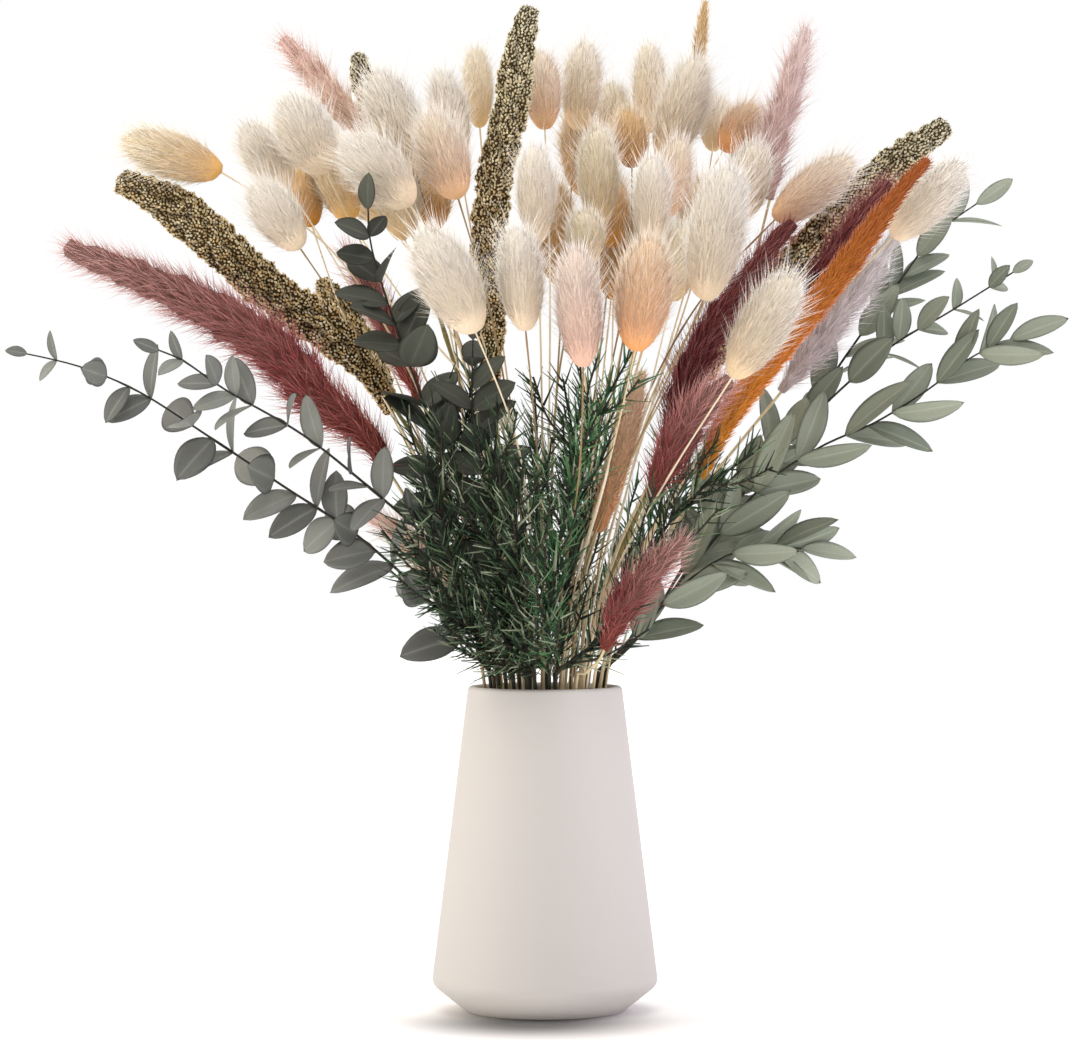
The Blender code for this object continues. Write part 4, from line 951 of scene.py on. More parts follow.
def leafAt(root, tangent, outward, lift, length, width, roll, form):
    axis = unit(tangent * math.cos(lift) + outward * math.sin(lift))
    up = unit(tangent * math.sin(lift) - outward * math.cos(lift))
    up = turned(up, axis, roll)
    return dict(root=root, axis=axis, up=up, across=np.cross(axis, up), length=length, width=width,
                arch=form["arch"], free=form["free"])


def growLeaves(plants, obstacles, rng):
    # Each stem gets bands at even steps. The band's four sides face four ways, and a leaf grows from some
    # of them: two opposite ones on eucalyptus, a quarter turn on at each band, and all four on needles
    for n, plant in enumerate(plants):
        if plant["kind"] not in leafForms:
            continue
        form = leafForms[plant["kind"]]
        family = [m for m, p in enumerate(plants) if m == n or p["forkOf"] == n or plant["forkOf"] == m]
        fine, tangents, sides, others = leafyLine(plant)
        start = plant["start"]
        count = max(2, int(round(lineLength(fine) * (1 - start) / plant["step"])))
        plant["bands"] = []
        for k in range(count):
            share = start + (1 - start) * k / (count - 0.4)
            at = min(int(share * (finePoints - 1)), finePoints - 2)
            band = dict(at=at, spin=plant["roll"] + k * form["turn"], leaves={})
            for face in form["faces"](k):
                size = plant["leaf"] * rng.uniform(1 - sizeSpread, 1 + sizeSpread)
                size *= np.interp(share, [shrinkFrom, 1], [1, plant["tip"]])
                width = size * plant["slim"] * rng.uniform(1 - sizeSpread, 1 + sizeSpread)
                lift = plant["lift"] + rng.uniform(-liftSpread, liftSpread)
                roll = rng.uniform(-form["roll"], form["roll"])
                for turn, grow, rise in form["tries"]:
                    angle = band["spin"] + face * math.pi / 2 + turn
                    outward = sides[at] * math.cos(angle) + others[at] * math.sin(angle)
                    leaf = leafAt(fine[at], tangents[at], outward, max(lift + rise, leastLift), size * grow,
                                  width * grow, roll, form)
                    if obstacles.clear(leaf, family):
                        band["leaves"][face] = leaf
                        obstacles.add(leaf, n, plant["kind"] == "eucalyptus")
                        break
            plant["bands"].append(band)
        spin = plant["bands"][-1]["spin"]
        outward = sides[-1] * math.cos(spin) + others[-1] * math.sin(spin)
        for grow in (1, 0.7, 0.4):
            size = plant["leaf"] * plant["tip"] * grow
            plant["tipLeaf"] = leafAt(fine[-1], tangents[-1], outward, 0, size, size * plant["slim"], 0, form)
            if obstacles.clear(plant["tipLeaf"], family):
                break


def planBouquet():
    plants = gatherPlants()
    settleStems(plants)
    growLeaves(plants, Obstacles(plants), np.random.default_rng(seed))
    return plants


def rounded(corners):
    # An outline in (radius, height) whose corners are rounded, each given with its rounding and how many
    # steps its arc takes. A rounding of 0 leaves the corner sharp
    outline = []
    for n, (x, z, rounding, steps) in enumerate(corners):
        corner = np.array([x, z])
        if rounding == 0:
            outline.append(corner)
            continue
        back = unit(np.array(corners[n - 1][:2]) - corner)
        on = unit(np.array(corners[n + 1][:2]) - corner)
        half = math.acos(back @ on) / 2
        centre = corner + unit(back + on) * rounding / math.sin(half)
        first = unit(corner + back * rounding / math.tan(half) - centre)
        last = unit(corner + on * rounding / math.tan(half) - centre)
        sweep = math.acos(first @ last)
        for k in range(steps + 1):
            t = k / steps
            way = (first * math.sin((1 - t) * sweep) + last * math.sin(t * sweep)) / math.sin(sweep)
            outline.append(centre + way * rounding)
    return outline




# Shapes that the pieces share
def headRows(plant, rows):
    # The head's line as even rows, with its tangents and two crosswise directions
    spine, start = plant["spine"], plant["headStart"]
    fine = throughPoints(spine[start:], rows)
    frames = frameAlong(np.vstack([spine[:start], fine]))
    return fine, *(f[start:] for f in frames)


def skin(name, line, tangents, sides, others, radii, sizes, extra=None):
    # A closed body round a line: radii hold one row for each point of the line. Each point keeps the way
    # the body grows there, how far along it is, and the size of the bristles there
    rows, around = radii.shape
    angles = np.arange(around) * 2 * np.pi / around
    points = (line[:, None] + sides[:, None] * (radii * np.cos(angles))[..., None]
              + others[:, None] * (radii * np.sin(angles))[..., None]).reshape(-1, 3)
    ends = [line[0] - tangents[0] * radii[0].mean() * 0.35, line[-1] + tangents[-1] * radii[-1].mean() * 0.5]
    points = np.vstack([points, ends])
    foot, tip = len(points) - 2, len(points) - 1
    faces = []
    for k in range(rows - 1):
        for i in range(around):
            a, b = k * around + i, k * around + (i + 1) % around
            faces.append((a, b, b + around, a + around))
    last = (rows - 1) * around
    for i in range(around):
        j = (i + 1) % around
        faces += [(foot, j, i), (last + i, last + j, tip)]
    share = np.linspace(0, 1, rows)
    perPoint = {"growth": np.vstack([np.repeat(tangents, around, axis=0), tangents[[0, -1]]]),
                "along": np.concatenate([np.repeat(share, around), [0, 1]]),
                "size": np.concatenate([np.repeat(sizes, around), sizes[[0, -1]]])}
    for label, values in (extra or {}).items():
        perPoint[label] = np.concatenate([values.reshape(-1), [values[0].mean(), values[-1].mean()]])
    return meshPiece(name, points, faces, attributes=perPoint)


def makeStem(plant, finish, thick, thin, toTip=0.0, sides=6, wave=0.0):
    # From the vase's floor to the head, and on into it by toTip of its length
    spine, start = plant["spine"], plant["headStart"]
    fine = throughPoints(spine, 240)
    place = np.linalg.norm(fine - spine[start], axis=1).argmin()
    end = int(place + (239 - place) * toTip)
    line = throughPoints(fine[:end + 1], max(8, int(lineLength(fine[:end + 1]) / stemLook["rowGap"])))
    share = np.linspace(0, 1, len(line))
    line = line + wave * np.stack([np.sin(share * 17 + start), np.cos(share * 13), share * 0], axis=1) * (
        np.sin(np.pi * share)[:, None])
    knots = np.abs((share * lineLength(line) / stemLook["knotGap"] + 0.37) % 1 - 0.5) < 0.06
    radii = (thick + (thin - thick) * share ** 1.5) * np.where(knots, stemLook["knotSwell"], 1)
    stem = meshPiece("stem", line, edges=[(k, k + 1) for k in range(len(line) - 1)],
                     attributes={"thick": radii, "along": share})
    return runTree(stem, trees["stem"], {"Sides": sides, "Finish": finish})


def lumps(rows, around, length, radius, gap, reach, rng):
    # Rounded lumps in a spiral over a body that is unrolled: height from 0 to 1 at each row and angle
    high = np.linspace(0, length, rows)[:, None]
    round_ = np.arange(around)[None, :] * 2 * np.pi / around
    height = np.zeros((rows, around))
    count = max(3, int(length * 2 * np.pi * radius / gap ** 2))
    for k in range(count):
        at, angle = length * (k + 0.5) / count, k * 2.39996 + rng.uniform(-0.3, 0.3)
        size = reach * rng.uniform(0.8, 1.25)
        across = ((round_ - angle + np.pi) % (2 * np.pi) - np.pi) * radius
        height = np.maximum(height, rng.uniform(0.75, 1) * (1 - ((high - at) ** 2 + across ** 2) / size ** 2))
    return np.clip(height, 0, 1)


# Bunny tails
bunnyTail = {"rows": 30, "around": 18, "grow": 1.1, "bodyShare": 0.8, "endsAt": 0.94,
             "stemThick": 0.7 * mm, "stemThin": 0.45 * mm}
tailHair = {"Spacing": 1.05 * mm, "Length": 9.5 * mm, "Width": 0.18 * mm, "Lift": 0.36, "Spread": 0.12,
            "Curl": 0.0, "Twist": 0.0, "Uneven": 0.3, "Blunt": 0.0, "Flat": 1.0}
tailAwns = {"Spacing": 2.4 * mm, "Length": 17 * mm, "Width": 0.2 * mm, "Lift": 0.8, "Spread": 0.3,
            "Curl": 0.0, "Twist": 0.0, "Uneven": 0.35, "Blunt": 0.0, "Flat": 1.0}
tailTints = {  # foot, middle and tip of the head
    "honey": [(232, 182, 106), (252, 226, 170), (255, 244, 216)],
    "cream": [(252, 230, 198), (255, 243, 222), (255, 250, 240)],
    "amber": [(196, 132, 48), (232, 174, 88), (250, 214, 148)],
    "peach": [(250, 202, 156), (255, 226, 194), (255, 243, 222)],
    "straw": [(234, 202, 148), (252, 234, 194), (255, 246, 222)],
    "beige": [(246, 218, 176), (255, 238, 210), (255, 248, 232)],
    "rose": [(248, 200, 176), (255, 225, 206), (255, 241, 228)],
    "apricot": [(250, 178, 114), (255, 206, 154), (255, 230, 194)],
}
# Heads deep in the bouquet, which share another head's stem: (x, z) of foot and tip from the front, how far
# back, width, colour, and whose stem
innerTails = [
    ((8, 404), (2, 462), 62, 26, "amber", 30), ((38, 396), (39, 452), 66, 27, "amber", 18),
    ((56, 402), (60, 458), 70, 26, "straw", 22), ((82, 404), (88, 462), 45, 26, "amber", 34),
    ((112, 446), (118, 498), 72, 25, "straw", 25), ((22, 452), (18, 500), 92, 24, "amber", 14),
    ((-78, 428), (-86, 480), 18, 26, "straw", 8), ((-108, 438), (-124, 488), 30, 25, "honey", 6),
]


def tailRadius(share):
    return np.maximum(np.sin(np.pi * np.clip(share, 0, 1) ** 0.9), 0) ** 0.45


def makeTail(plant, n):
    fine, tangents, sides, others = headRows(plant, bunnyTail["rows"])
    stop = int(bunnyTail["rows"] * bunnyTail["endsAt"])
    share = np.linspace(0.02, 0.975, stop)
    width = plant["width"] * bunnyTail["grow"]
    radii = tailRadius(share) * width / 2 * bunnyTail["bodyShare"]
    small = min(1, width / (28 * mm)) ** 0.6
    parts = []
    for look, tree, start, grow in ((tailHair, "hair", 100, [0.6, 0.9, 1.0, 0.9]),
                                    (tailAwns, "awns", 2100, [0.3, 0.7, 1.0, 1.1])):
        sizes = np.interp(share, [0, 0.2, 0.6, 1], grow) * small
        core = skin("head", fine[:stop], tangents[:stop], sides[:stop], others[:stop],
                    np.repeat(radii[:, None], bunnyTail["around"], axis=1), sizes)
        parts.append(runTree(core, trees[tree], dict(
            look, Seed=start + n * 7, Finish=finishes[plant["tint"]], Core=finishes[plant["tint"] + "Core"])))
    stem = makeStem(plant, finishes[("straw stem", "pale stem", "brown stem")[n % 3]],
                    bunnyTail["stemThick"], bunnyTail["stemThin"], 0.1)
    return parts + [stem]


def innerPlants(plants):
    # Each leaves its host's stem a third of the way up from the mouth
    inner = []
    for n, (foot, tip, back, width, tint, host) in enumerate(innerTails):
        plant = makePlant("bunnyTail", "", [foot, tip], (back, back * 1.1), width, tint, forkOf=host)
        spine = plants[host]["spine"]
        leave = 2 + (plants[host]["headStart"] - 2) // 3
        line = throughPoints(plant["line"], 5)
        start = spine[leave:leave + 2]
        middle = (start[-1] + line[0]) / 2 - np.array([0, 0, 0.004])
        plant["spine"] = np.vstack([start, middle, line])
        plant["headStart"] = 3
        inner.append(plant)
    return inner


# Millet
millet = {"rowGap": 1.4 * mm, "around": 40, "bodyShare": 0.86, "lump": 0.5, "lumpGap": 7.2 * mm,
          "lumpReach": 4.8 * mm, "spacing": 1.55 * mm, "grain": 0.76 * mm, "long": 1.9, "lean": 0.9,
          "spread": 0.55, "uneven": 0.25, "stemThick": 1.5 * mm, "stemThin": 1.2 * mm}


def makeMillet(plant, n):
    rng = np.random.default_rng(seed + n)
    spine = plant["spine"][plant["headStart"]:]
    length = lineLength(spine)
    rows = int(length / millet["rowGap"])
    fine, tangents, sides, others = headRows(plant, rows)
    outer = headRadius("millet", np.linspace(0.01, 0.99, rows), plant["width"]) * millet["bodyShare"]
    height = lumps(rows, millet["around"], length, plant["width"] / 2, millet["lumpGap"],
                   millet["lumpReach"], rng)
    radii = outer[:, None] * (1.03 - millet["lump"] + 1.4 * millet["lump"] * height)
    # The tips of those at the top and the right are bleached
    frost = np.linspace(0, 1, rows)[:, None] ** 2 * (0.25 if n in (0, 4) else 0.85) + height * 0
    core = skin("head", fine, tangents, sides, others, radii, np.ones(rows), {"lump": height, "frost": frost})
    head = runTree(core, trees["grain"], {
        "Spacing": millet["spacing"], "Radius": millet["grain"], "Long": millet["long"],
        "Lean": millet["lean"], "Spread": millet["spread"], "Uneven": millet["uneven"],
        "Seed": 900 + n * 7, "Finish": finishes["grain"], "Core": finishes["grainCore"]})
    return [head, makeStem(plant, finishes["green stem"], millet["stemThick"], millet["stemThin"], 0.1)]


# Reed plumes and foxtails
reedPlume = {"rowGap": 2.0 * mm, "around": 18, "grow": 1.12, "bodyShare": 0.56, "lump": 0.6,
             "lumpGap": 14 * mm, "lumpReach": 10 * mm, "stemThick": 1.1 * mm, "stemThin": 0.8 * mm}
plumeHair = {"Spacing": 1.4 * mm, "Length": 13 * mm, "Width": 0.2 * mm, "Lift": 0.76, "Spread": 0.46,
             "Curl": 0.2, "Twist": 1.8, "Uneven": 0.45, "Blunt": 0.0, "Flat": 1.0}
foxtail = {"rowGap": 1.6 * mm, "around": 20, "grow": 1.1, "bodyShare": 0.72, "lump": 0.36,
           "lumpGap": 4.4 * mm, "lumpReach": 3.2 * mm, "stemThick": 1.0 * mm, "stemThin": 0.7 * mm}
foxtailHair = {"Spacing": 1.15 * mm, "Length": 5.2 * mm, "Width": 0.3 * mm, "Lift": 0.68, "Spread": 0.24,
               "Curl": 0.1, "Twist": 0.8, "Uneven": 0.3, "Blunt": 0.0, "Flat": 1.0}
plumeTints = {  # foot, middle and tip of the head
    "rosewood": [(222, 112, 98), (188, 72, 78), (250, 196, 186)],
    "blush": [(250, 212, 188), (254, 226, 206), (250, 214, 206)],
    "mauve": [(224, 180, 178), (250, 218, 214), (255, 236, 232)],
    "burgundy": [(124, 34, 42), (148, 52, 58), (188, 104, 102)],
    "pearl": [(226, 206, 206), (246, 234, 236), (252, 246, 248)],
    "orange": [(255, 176, 60), (255, 150, 44), (176, 86, 46)],
    "salmon": [(246, 176, 118), (252, 204, 158), (254, 224, 194)],
    "golden": [(238, 204, 146), (242, 210, 152), (240, 206, 156)],
}
plumePale = {"orange": 0.12, "blush": 0.5, "mauve": 0.45, "pearl": 0.5, "salmon": 0.4, "golden": 0.4}


def makeBristled(plant, look, hair, kind, n):
    rng = np.random.default_rng(seed + 40 + n)
    length = lineLength(plant["spine"][plant["headStart"]:])
    rows = max(8, int(length / look["rowGap"]))
    fine, tangents, sides, others = headRows(plant, rows)
    share = np.linspace(0.01, 0.99, rows)
    outer = headRadius(kind, share, plant["width"]) * look["bodyShare"] * look["grow"]
    height = lumps(rows, look["around"], length, plant["width"] / 2, look["lumpGap"], look["lumpReach"], rng)
    radii = outer[:, None] * (1 - look["lump"] + 1.5 * look["lump"] * height)
    full = [0.7, 1.15, 0.9, 0.65] if length > 150 * mm and kind == "plume" else [0.7, 1, 1, 0.75]
    sizes = np.interp(share, [0, 0.15, 0.75, 1], full) * (0.75 + 0.5 * height.mean(axis=1))
    tint = {1: "golden", 2: "salmon"}.get(n, "orange") if kind == "foxtail" else plant["tint"]
    core = skin("head", fine, tangents, sides, others, radii, sizes, {"lump": height})
    head = runTree(core, trees["curlyHair"], dict(
        hair, Seed=500 + n * 7, Finish=finishes[tint], Core=finishes[tint + "Core"]))
    return [head, makeStem(plant, finishes["straw stem"], look["stemThick"], look["stemThin"], 0.1)]


# Eucalyptus
eucalyptus = {"rows": 13, "across": 6, "arch": 0.10, "fold": 0.10, "edgeRise": 0.06, "thick": 0.018,
              "stalk": 0.05, "face": 0.8, "stray": 0.45, "extra": (0.15, 0.15, 0.5, 0.35, 0.4, 0.4, 0.5, 0.5), "stemThick": 1.1 * mm, "stemThin": 0.45 * mm}
leafTints = {  # pale and dark leaves of a sprig, and their midrib
    "grey leaf": [(146, 150, 144), (82, 84, 84), (172, 176, 168)],
    "dark leaf": [(90, 95, 84), (40, 41, 38), (116, 122, 108)],
    "pale leaf": [(172, 180, 162), (108, 118, 104), (196, 202, 182)],
}
# The third and eighth sprigs take the darkest tint, as painted shade
sprigTints = ["grey leaf", "grey leaf", "dark leaf", "pale leaf", "pale leaf", "pale leaf", "pale leaf",
              "dark leaf"]


def leafShape():
    # One leaf of unit length along Y and unit width along X: pointed, folded a little at its midrib, and
    # closed round its edge. Its top and underside are two sheets that meet there
    rows, across = eucalyptus["rows"], eucalyptus["across"]
    along = np.linspace(0, 1, rows)
    half = 0.5 * np.sin(np.pi * along ** 0.92) ** 0.66
    half = np.maximum(half, np.interp(along, [0, 0.08, 1], [eucalyptus["stalk"], eucalyptus["stalk"], 0.0]))
    side = np.linspace(-1, 1, across + 1)
    points, faces, rib = [], [], []
    for way in (1, -1):
        for k in range(rows):
            for s in side:
                x = s * half[k]
                body = eucalyptus["thick"] * math.sqrt(max(0, 1 - s * s)) * (1 - 0.6 * along[k])
                z = (-eucalyptus["arch"] * along[k] ** 2 + eucalyptus["fold"] * abs(x)
                     + eucalyptus["edgeRise"] * x * x + way * body / 2)
                points.append((x, along[k], z))
                rib.append(abs(s))
    sheet = rows * (across + 1)
    for k in range(rows - 1):
        for i in range(across):
            a = k * (across + 1) + i
            b = a + across + 1
            faces.append((a, a + 1, b + 1, b))
            faces.append((sheet + a, sheet + b, sheet + b + 1, sheet + a + 1))
    width = across + 1
    for i in range(across):  # the foot and the tip
        faces.append((i, sheet + i, sheet + i + 1, i + 1))
        a = (rows - 1) * width + i
        faces.append((a + 1, sheet + a + 1, sheet + a, a))
    leaf = meshPiece("leaf", points, faces,
                     attributes={"rib": rib, "reach": [p[1] for p in points]})
    body = bmesh.new()
    body.from_mesh(leaf.data)
    bmesh.ops.remove_doubles(body, verts=body.verts, dist=1e-5)
    bmesh.ops.recalc_face_normals(body, faces=body.faces)
    body.to_mesh(leaf.data)
    body.free()
    return leaf


def leafPoints(leaves):
    return meshPiece("leaves", [leaf["root"] for leaf in leaves], attributes={
        "axis": [leaf["axis"] for leaf in leaves], "up": [leaf["up"] for leaf in leaves],
        "length": [leaf["length"] for leaf in leaves], "width": [leaf["width"] for leaf in leaves]})


def facing(leaf, share):
    # The blade turns about its own length so that by this share it faces the front
    front = np.array([0.0, -1.0, 0.25])
    up = unit(leaf["up"] * (1 - share) * (1 if leaf["up"] @ front > -0.2 else -1) + front * share)
    up = unit(up - leaf["axis"] * (up @ leaf["axis"]))
    return dict(leaf, up=up, across=np.cross(leaf["axis"], up))


def makeSprig(plant, n):
    # The laid-out leaves, and between each two of their bands another pair that spreads to the sides
    rng = np.random.default_rng(seed + 80 + n)
    fine, tangents, _, _ = leafyLine(plant)
    leaves = [leaf for band in plant["bands"] for leaf in band["leaves"].values()] + [plant["tipLeaf"]]
    leaves = [facing(leaf, eucalyptus["face"] * rng.uniform(0.25, 1)) for leaf in leaves]
    places = [band["at"] for band in plant["bands"]]
    for low, high in zip(places, places[1:] + [finePoints - 8]):
        at = (low + high) // 2
        share = at / finePoints
        for way in (1, -1):
            if rng.uniform() > eucalyptus["extra"][n]:
                continue
            spread = unit(np.cross(tangents[at], [0.0, -1.0, 0.0]) * way
                          + rng.uniform(-1, 1, 3) * eucalyptus["stray"])
            size = plant["leaf"] * rng.uniform(0.8, 1.05) * np.interp(share, [shrinkFrom, 1], [1, plant["tip"]])
            lift = plant["lift"] + rng.uniform(-0.25, 0.25)
            leaf = leafAt(fine[at], tangents[at], spread, max(lift, leastLift), size,
                          size * plant["slim"] * rng.uniform(0.9, 1.15), 0, leafForms["eucalyptus"])
            leaves.append(facing(leaf, eucalyptus["face"] * rng.uniform(0.5, 1)))
    shape = leafShape()
    grown = runTree(leafPoints(leaves), trees["leaves"], {
        "Leaf": shape, "Seed": 300 + n, "Finish": finishes[sprigTints[n]]})
    bpy.data.objects.remove(shape)
    return [grown, makeStem(plant, finishes["dark stem"], eucalyptus["stemThick"], eucalyptus["stemThin"], 1.0)]


# Needle foliage
needles = {"rowGap": 3 * mm, "around": 6, "overLip": 5 * mm, "twigs": 15, "twigLength": 50 * mm,
           "twigLean": 0.68,
           "twigRadius": 0.6 * mm, "stemThick": 1.1 * mm, "stemThin": 0.6 * mm, "fresh": (4, 7)}
needleLook = {"Spacing": 1.75 * mm, "Length": 18 * mm, "Width": 0.98 * mm, "Lift": 0.8, "Spread": 0.34,
              "Curl": 0.22, "Twist": 1.2, "Uneven": 0.3, "Blunt": 0.3, "Flat": 0.45}


def makeNeedles(plant, n):
    # Needles cover the sprig's own line and the short twigs that leave it on its way up
    rng = np.random.default_rng(seed + 60 + n)
    fine = throughPoints(plant["spine"], 300)
    fine = fine[fine[:, 2] > vaseHeight + needles["overLip"]]
    rows = int(lineLength(fine) / needles["rowGap"])
    fine = throughPoints(fine, rows)
    tangents, sides, others = frameAlong(fine)
    share = np.linspace(0, 1, rows)
    radii = np.interp(share, [0, 1], [needles["stemThick"], needles["stemThin"]])
    sizes = np.interp(share, [0, 0.06, 0.18, 0.6, 1], [0.4, 0.6, 1, 1.05, 0.8])
    cores = [skin("head", fine, tangents, sides, others, np.repeat(radii[:, None], needles["around"], axis=1),
                  sizes)]
    for k in range(needles["twigs"]):
        at = int(rows * (0.02 + 0.82 * (k + rng.uniform(0, 0.6)) / needles["twigs"]))
        angle = k * 2.39996 + rng.uniform(-0.4, 0.4)
        out = sides[at] * math.cos(angle) + others[at] * math.sin(angle)
        reach = needles["twigLength"] * rng.uniform(0.65, 1.1) * (1 - 0.35 * at / rows)
        lean = needles["twigLean"] * rng.uniform(0.7, 1.2)
        line = throughPoints([fine[at], fine[at] + (tangents[at] + out * lean) * reach * 0.5,
                              fine[at] + (tangents[at] * 1.1 + out * lean * 0.7) * reach], 12)
        ways, aside, beside = frameAlong(line)
        cores.append(skin("twig", line, ways, aside, beside,
                          np.full((12, needles["around"]), needles["twigRadius"]), np.linspace(0.85, 0.7, 12)))
    core = joined("head", cores)
    head = runTree(core, trees["needles"], dict(
        needleLook, Seed=700 + n * 7, Finish=finishes["fresh needles" if n in needles["fresh"] else "needles"],
        Core=finishes["dark stem"]))
    return [head, makeStem(plant, finishes["dark stem"], needles["stemThick"], needles["stemThick"], 0.02)]


# Vase
vase = {"sides": 144, "arcSteps": 10, "wallRows": 24}
ceramicLook = {"body": (200, 198, 197), "warm": (205, 200, 194), "speck": (182, 177, 172)}


def makeVase():
    # The outline runs up the outside, over the rim and down inside, and is turned about Z
    steps = vase["arcSteps"]
    outline = rounded([
        (footRadius, 0, footRounding, steps), (shoulderRadius, shoulderHeight, shoulderRounding, steps),
        (rimRadius, vaseHeight, rimRounding, steps),
        (rimRadius - wallThickness, vaseHeight, rimRounding, steps),
        (shoulderRadius - wallThickness, shoulderHeight + wallThickness, shoulderRounding, steps),
        (footRadius, floorThickness, 1.5 * mm, 4), (0, floorThickness, 0, 0), (0, 0, 0, 0)])
    fine = []
    for a, b in zip(outline[:-1], outline[1:]):
        count = vase["wallRows"] if np.linalg.norm(b - a) > 0.05 else 1
        fine += [a + (b - a) * k / count for k in range(count)]
    fine = [p for p in fine if p[0] > 1e-6]
    sides = vase["sides"]
    angles = np.arange(sides) * 2 * np.pi / sides
    points = [(r * math.cos(t), r * math.sin(t), z) for r, z in fine for t in angles]
    faces = [(k * sides + i, k * sides + (i + 1) % sides, (k + 1) * sides + (i + 1) % sides, (k + 1) * sides + i)
             for k in range(len(fine) - 1) for i in range(sides)]
    foot, inner = len(points), len(points) + 1
    points += [(0, 0, 0), (0, 0, floorThickness)]
    last = (len(fine) - 1) * sides
    for i in range(sides):
        j = (i + 1) % sides
        faces += [(foot, j, i), (inner, last + i, last + j)]
    body = meshPiece("dressedVase", points, faces)
    body.data.materials.append(finishes["ceramic"])
    body.data.set_sharp_from_angle(angle=math.radians(40))
    return body


# Everything together
pieceNames = {"bunnyTail": "bunnyTail", "millet": "milletHead", "plume": "reedPlume", "foxtail": "foxtailSpike",
              "eucalyptus": "eucalyptusSprig", "needles": "needleSprig"}
stemLook = {"rowGap": 7 * mm, "knotGap": 62 * mm, "knotSwell": 1.25}
finishes, trees = {}, {}


def makeFinishes():
    finishes["ceramic"] = ceramicFinish()
    for name, (foot, middle, tip) in tailTints.items():
        finishes[name] = hairFinish(name + "Hair", foot, middle, tip, 0.6, 0.12, 0.6)
        finishes[name + "Core"] = coreFinish(name + "Body", foot, tip)
    for name, (foot, middle, tip) in plumeTints.items():
        pale = plumePale.get(name, 0.3)
        finishes[name] = hairFinish(name + "Hair", foot, middle, tip, pale, 0.45 - 0.5 * pale, 0.1)
        # Painted shade: the body between the hairs takes this share of the hair's colours, deep on the dark
        # plumes and slight on the pale ones and the foxtails
        depth = 0.9 if name in plumePale else 0.55
        finishes[name + "Core"] = coreFinish(name + "Body", [c * depth for c in foot], [c * depth for c in tip])
    finishes["grain"] = grainFinish()
    # Painted shade: the body under the grains is dark brown, for the shade down between them
    finishes["grainCore"] = coreFinish("milletBody", (58, 42, 24), (80, 68, 46))
    finishes["straw stem"] = stemFinish("strawStem", (248, 236, 206), (238, 222, 184), (190, 162, 118))
    finishes["pale stem"] = stemFinish("paleStem", (252, 246, 228), (246, 236, 210), (200, 178, 138))
    finishes["brown stem"] = stemFinish("brownStem", (206, 184, 142), (164, 138, 98), (116, 92, 60))
    finishes["green stem"] = stemFinish("greenStem", (196, 176, 120), (130, 128, 76), (120, 100, 60))
    finishes["dark stem"] = stemFinish("darkStem", (70, 62, 46), (48, 46, 38), (30, 30, 24))
    for name, (light, dark, vein) in leafTints.items():
        finishes[name] = leafFinish(name, light, dark, vein)
    finishes["needles"] = needleFinish("needleGreen", (34, 56, 38), (62, 98, 60))
    finishes["fresh needles"] = needleFinish("freshNeedleGreen", (42, 96, 62), (92, 160, 96))


def ceramicFinish():
    finish, maker = newFinish("mattCeramic")
    cloud, grain = noiseOf(maker, 14, 4), noiseOf(maker, 1400, 2)
    tone = maker.mix(cloud * 0.6, linear(ceramicLook["body"]), linear(ceramicLook["warm"]))
    endFinish(maker, {"Base Color": maker.mix((grain ** 6) * 0.8, tone, linear(ceramicLook["speck"])),
                      "Roughness": 0.62 + cloud * 0.2, "Specular IOR Level": 0.35,
                      "Normal": bumpOf(maker, grain, 0.12, 0.2 * mm)})
    return finish


def grainFinish():
    # Golden to olive grains, each its own tone, with painted shade down between the lumps
    finish, maker = newFinish("milletGrain")
    frost, shade, lump = (maker.attribute(a) for a in ("frost", "shade", "lump"))
    tone = rampOf(maker, shade, [(0.0, (196, 156, 96)), (0.3, (240, 210, 150)), (0.75, (255, 240, 196)),
                                 (1.0, (255, 252, 232))])
    cloud = noiseOf(maker, 45, 3)
    tone = maker.mix(cloud * 0.25, tone, linear((190, 170, 104)))
    tone = maker.mix(frost, tone, linear((226, 226, 200)))
    # Painted shade in the hollows between the lumps
    endFinish(maker, {"Base Color": maker.mix((1 - lump) * 0.7, tone, linear((84, 58, 30))),
                      "Roughness": 0.5 + cloud * 0.3, "Specular IOR Level": 0.4,
                      "Normal": bumpOf(maker, noiseOf(maker, 2200, 1), 0.25, 0.15 * mm)})
    return finish


def leafFinish(name, light, dark, vein):
    # Matt grey-green, each leaf its own shade, with a paler midrib and a thin dark edge
    finish, maker = newFinish(name)
    shade, rib, reach = (maker.attribute(a) for a in ("shade", "rib", "reach"))
    cloud, fine = noiseOf(maker, 55, 4), noiseOf(maker, 700, 2)
    tone = maker.mix(shade * 0.75 + cloud * 0.2, linear(light), linear(dark))
    midrib = (1 - rib) ** 14
    tone = maker.mix(midrib * 0.5, tone, linear(vein))
    tone = maker.mix(fine * 0.2, tone, linear([c * 0.7 for c in dark]))
    tone = maker.mix(rib ** 16 * 0.55, tone, linear([c * 0.6 for c in dark]))
    endFinish(maker, {"Base Color": tone, "Roughness": 0.55 + cloud * 0.25, "Specular IOR Level": 0.35,
                      "Normal": bumpOf(maker, fine + midrib * 1.5, 0.3, 0.25 * mm)})
    return finish


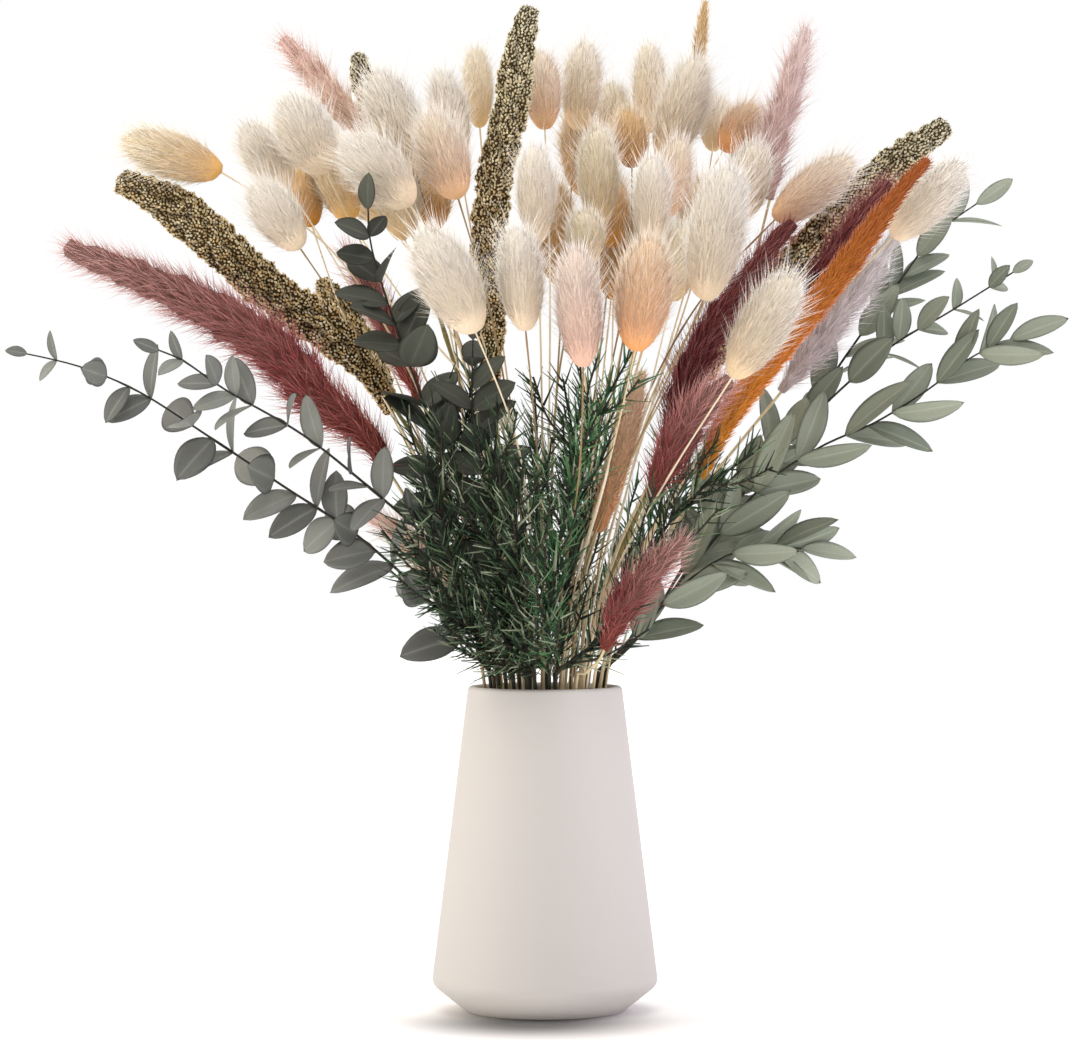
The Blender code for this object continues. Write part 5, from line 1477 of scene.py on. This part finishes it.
def needleFinish(name, body, bright):
    # Dark needles with a few pale ones among them: near black at one end as painted shade, the pale ones as
    # painted highlights, and a painted highlight towards each needle's tip
    finish, maker = newFinish(name)
    along, reach, shade = (maker.attribute(a) for a in ("along", "reach", "shade"))
    tone = rampOf(maker, shade, [(0.0, (16, 24, 18)), (0.4, body), (0.66, bright), (0.76, (130, 156, 116)),
                                 (1.0, (208, 216, 190))])
    # Painted highlight towards each needle's tip
    tone = maker.mix(reach * 0.3, tone, linear(bright))
    cloud = noiseOf(maker, 70, 3)
    endFinish(maker, {"Base Color": maker.mix(cloud * 0.35, tone, linear((24, 36, 30))),
                      "Roughness": 0.4 + cloud * 0.3, "Specular IOR Level": 0.4})
    return finish


def dress(plants):
    # One piece for each node: a plant with those that fork from it
    makers = {"bunnyTail": makeTail, "millet": makeMillet, "eucalyptus": makeSprig, "needles": makeNeedles,
              "plume": lambda p, n: makeBristled(p, reedPlume, plumeHair, "plume", n),
              "foxtail": lambda p, n: makeBristled(p, foxtail, foxtailHair, "foxtail", n)}
    counts, grown = {}, []
    for plant in plants:
        n = counts[plant["kind"]] = counts.get(plant["kind"], -1) + 1
        grown.append(makers[plant["kind"]](plant, n))
        plant["number"] = n + 1
    for n, plant in enumerate(plants):
        if plant["forkOf"] is not None:
            continue
        family = [n] + [m for m, p in enumerate(plants) if p["forkOf"] == n]
        family += [m for m, p in enumerate(plants) if p["forkOf"] in family[1:] and m not in family]
        parts = [o for m in family for o in grown[m]]
        piece = joined(f"{pieceNames[plant['kind']]}{plant['number']:02d}", parts)
        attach(piece, "root")
        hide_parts(plant["name"])
        plant["tint"]


makeCamera()
makeStudio()
print("camera, floor and light ready")
makeFinishes()
trees["hair"], trees["awns"] = bristleTree("tailHair", 1), bristleTree("tailAwns", 1, withCore=False)
trees["curlyHair"] = bristleTree("plumeHair", 2)
trees["needles"], trees["grain"] = bristleTree("foliageNeedles", 2), grainTree()
trees["stem"], trees["leaves"] = stemTree(), leafTree()
dressedVase = makeVase()
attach(dressedVase, "root")
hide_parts("vase")
print("vase ready")
bouquet = planBouquet()
bouquet += innerPlants(bouquet)
print("stems laid out:", len(bouquet))
dress(bouquet)
